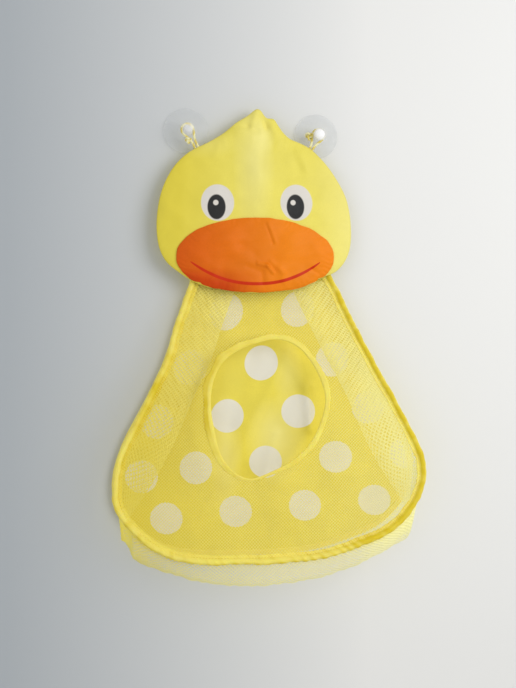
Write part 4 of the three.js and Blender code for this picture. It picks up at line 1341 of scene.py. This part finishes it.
# Each lamp's place, aim, size and power: a soft one from the upper right and a faint one from the left
LAMPS = {
    "key": ((0.68, -0.9, 0.1), (0.05, 0, -0.2), 0.8, 6.3),
    "fill": ((-1.6, -1.9, 0.2), (0, 0, -0.2), 1.6, 5),
}
# The photograph's height, focal length and shift, in its pixels
PHOTO_HEIGHT, PHOTO_FOCAL, PHOTO_SHIFT = 688, 1200, -32
CAMERA_PLACE, CAMERA_TURN = (-0.2016, -1.1818, -0.1776), math.radians(-10)
STAGE_TOP, FLOOR_HEIGHT, WALL_DISTANCE = 2, -0.9, 0.0008
STAGE_CORNERS = [(-3, -3), (3, -3), (3, 3), (-3, 3)]


class TOYBAG_OT_stage(bpy.types.Operator):
    """A pale wall behind the bag, a pale floor below it, soft light and the camera"""

    bl_idname = "toybag.stage"
    bl_label = "Stage"

    def execute(self, context):
        _, colours = settings(context)
        self.wall(colours)
        self.backdrop("stage_floor", [(x, y, FLOOR_HEIGHT) for x, y in STAGE_CORNERS], colours)
        self.light(context)
        self.camera(context)
        return {"FINISHED"}

    def backdrop(self, name, corners, colours):
        """A plain sheet of the stage, and its paint."""
        mesh = new_mesh(name, np.array(corners), [(0, 1, 2, 3)])
        paint = Finish(name, colours.wall_pale, 0.85)
        mesh.materials.append(paint.material)
        made = link(name, mesh)
        return made, paint

    def wall(self, colours):
        """The wall, with painted shade that makes it greyer to the left. It can't be seen from behind and
        keeps no light from there.
        """
        wall, paint = self.backdrop("stage_wall", [
            (x, WALL_DISTANCE, STAGE_TOP if up > 0 else FLOOR_HEIGHT) for x, up in STAGE_CORNERS], colours)
        wall.visible_shadow = wall.visible_diffuse = False
        # Painted shade: the paint turns grey towards the left, where the light falls off
        across = paint.ramp(paint.axes()[0], -0.24, 0.12)
        paint.set(base_color=paint.blend(across, colours.wall_grey, colours.wall_pale))
        behind = paint.node("NewGeometry")["Backfacing"]
        both = paint.node("MixShader", {0: behind, 1: paint.shader.outputs[0],
                                        2: paint.node("BsdfTransparent")[0]})[0]
        paint.feed(paint.tree.nodes["Material Output"], 0, both)

    def light(self, context):
        """The lamps and a pale world."""
        for name, (place, aim, size, power) in LAMPS.items():
            lamp = bpy.data.lights.new(name, "AREA")
            lamp.size, lamp.energy = size, power
            made = link(name, lamp)
            made.location = place
            made.rotation_euler = (Vector(aim) - Vector(place)).to_track_quat("-Z", "Y").to_euler()
        world = context.scene.world = bpy.data.worlds.new("pale_room")
        world.use_nodes = True
        colour, strength = world.node_tree.nodes["Background"].inputs[:2]
        colour.default_value, strength.default_value = (1, 1, 1, 1), 0.58

    def camera(self, context):
        """The photograph's view: from the left and level, its picture moved down by the lens shift."""
        lens = bpy.data.cameras.new("photo_view")
        lens.lens = 36 * PHOTO_FOCAL / PHOTO_HEIGHT
        lens.shift_y = PHOTO_SHIFT / PHOTO_HEIGHT
        made = link("photo_view", lens)
        made.location = CAMERA_PLACE
        made.rotation_euler = (math.pi / 2, 0, CAMERA_TURN)
        context.scene.camera = made
        context.scene.view_settings.view_transform = "Standard"


OPERATORS = [
    TOYBAG_OT_stage, TOYBAG_OT_hanging_loops, TOYBAG_OT_suction_cups, TOYBAG_OT_head, TOYBAG_OT_beak,
    TOYBAG_OT_hoop, TOYBAG_OT_front_net, TOYBAG_OT_back, TOYBAG_OT_gusset,
]


class TOYBAG_PT_panel(bpy.types.Panel):
    """Lists the bag's pieces in the sidebar"""

    bl_label = "Toy Bag"
    bl_idname = "TOYBAG_PT_panel"
    bl_space_type = "VIEW_3D"
    bl_region_type = "UI"
    bl_category = "Toy Bag"

    def draw(self, context):
        for operator in OPERATORS:
            self.layout.operator(operator.bl_idname)
        for group in settings(context):
            for key in group.__annotations__:
                self.layout.prop(group, key)


CLASSES = [ToyBagSizes, ToyBagColours, *OPERATORS, TOYBAG_PT_panel]


def register():
    for made in CLASSES:
        bpy.utils.register_class(made)
    bpy.types.Scene.toy_bag_sizes = bpy.props.PointerProperty(type=ToyBagSizes)
    bpy.types.Scene.toy_bag_colours = bpy.props.PointerProperty(type=ToyBagColours)


def unregister():
    del bpy.types.Scene.toy_bag_colours
    del bpy.types.Scene.toy_bag_sizes
    for made in reversed(CLASSES):
        bpy.utils.unregister_class(made)


def main():
    """Builds the whole bag."""
    register()
    for operator in OPERATORS:
        group, name = operator.bl_idname.split(".")
        getattr(getattr(bpy.ops, group), name)()
    bpy.context.view_layer.update()


if __name__ == "__main__":
    main()
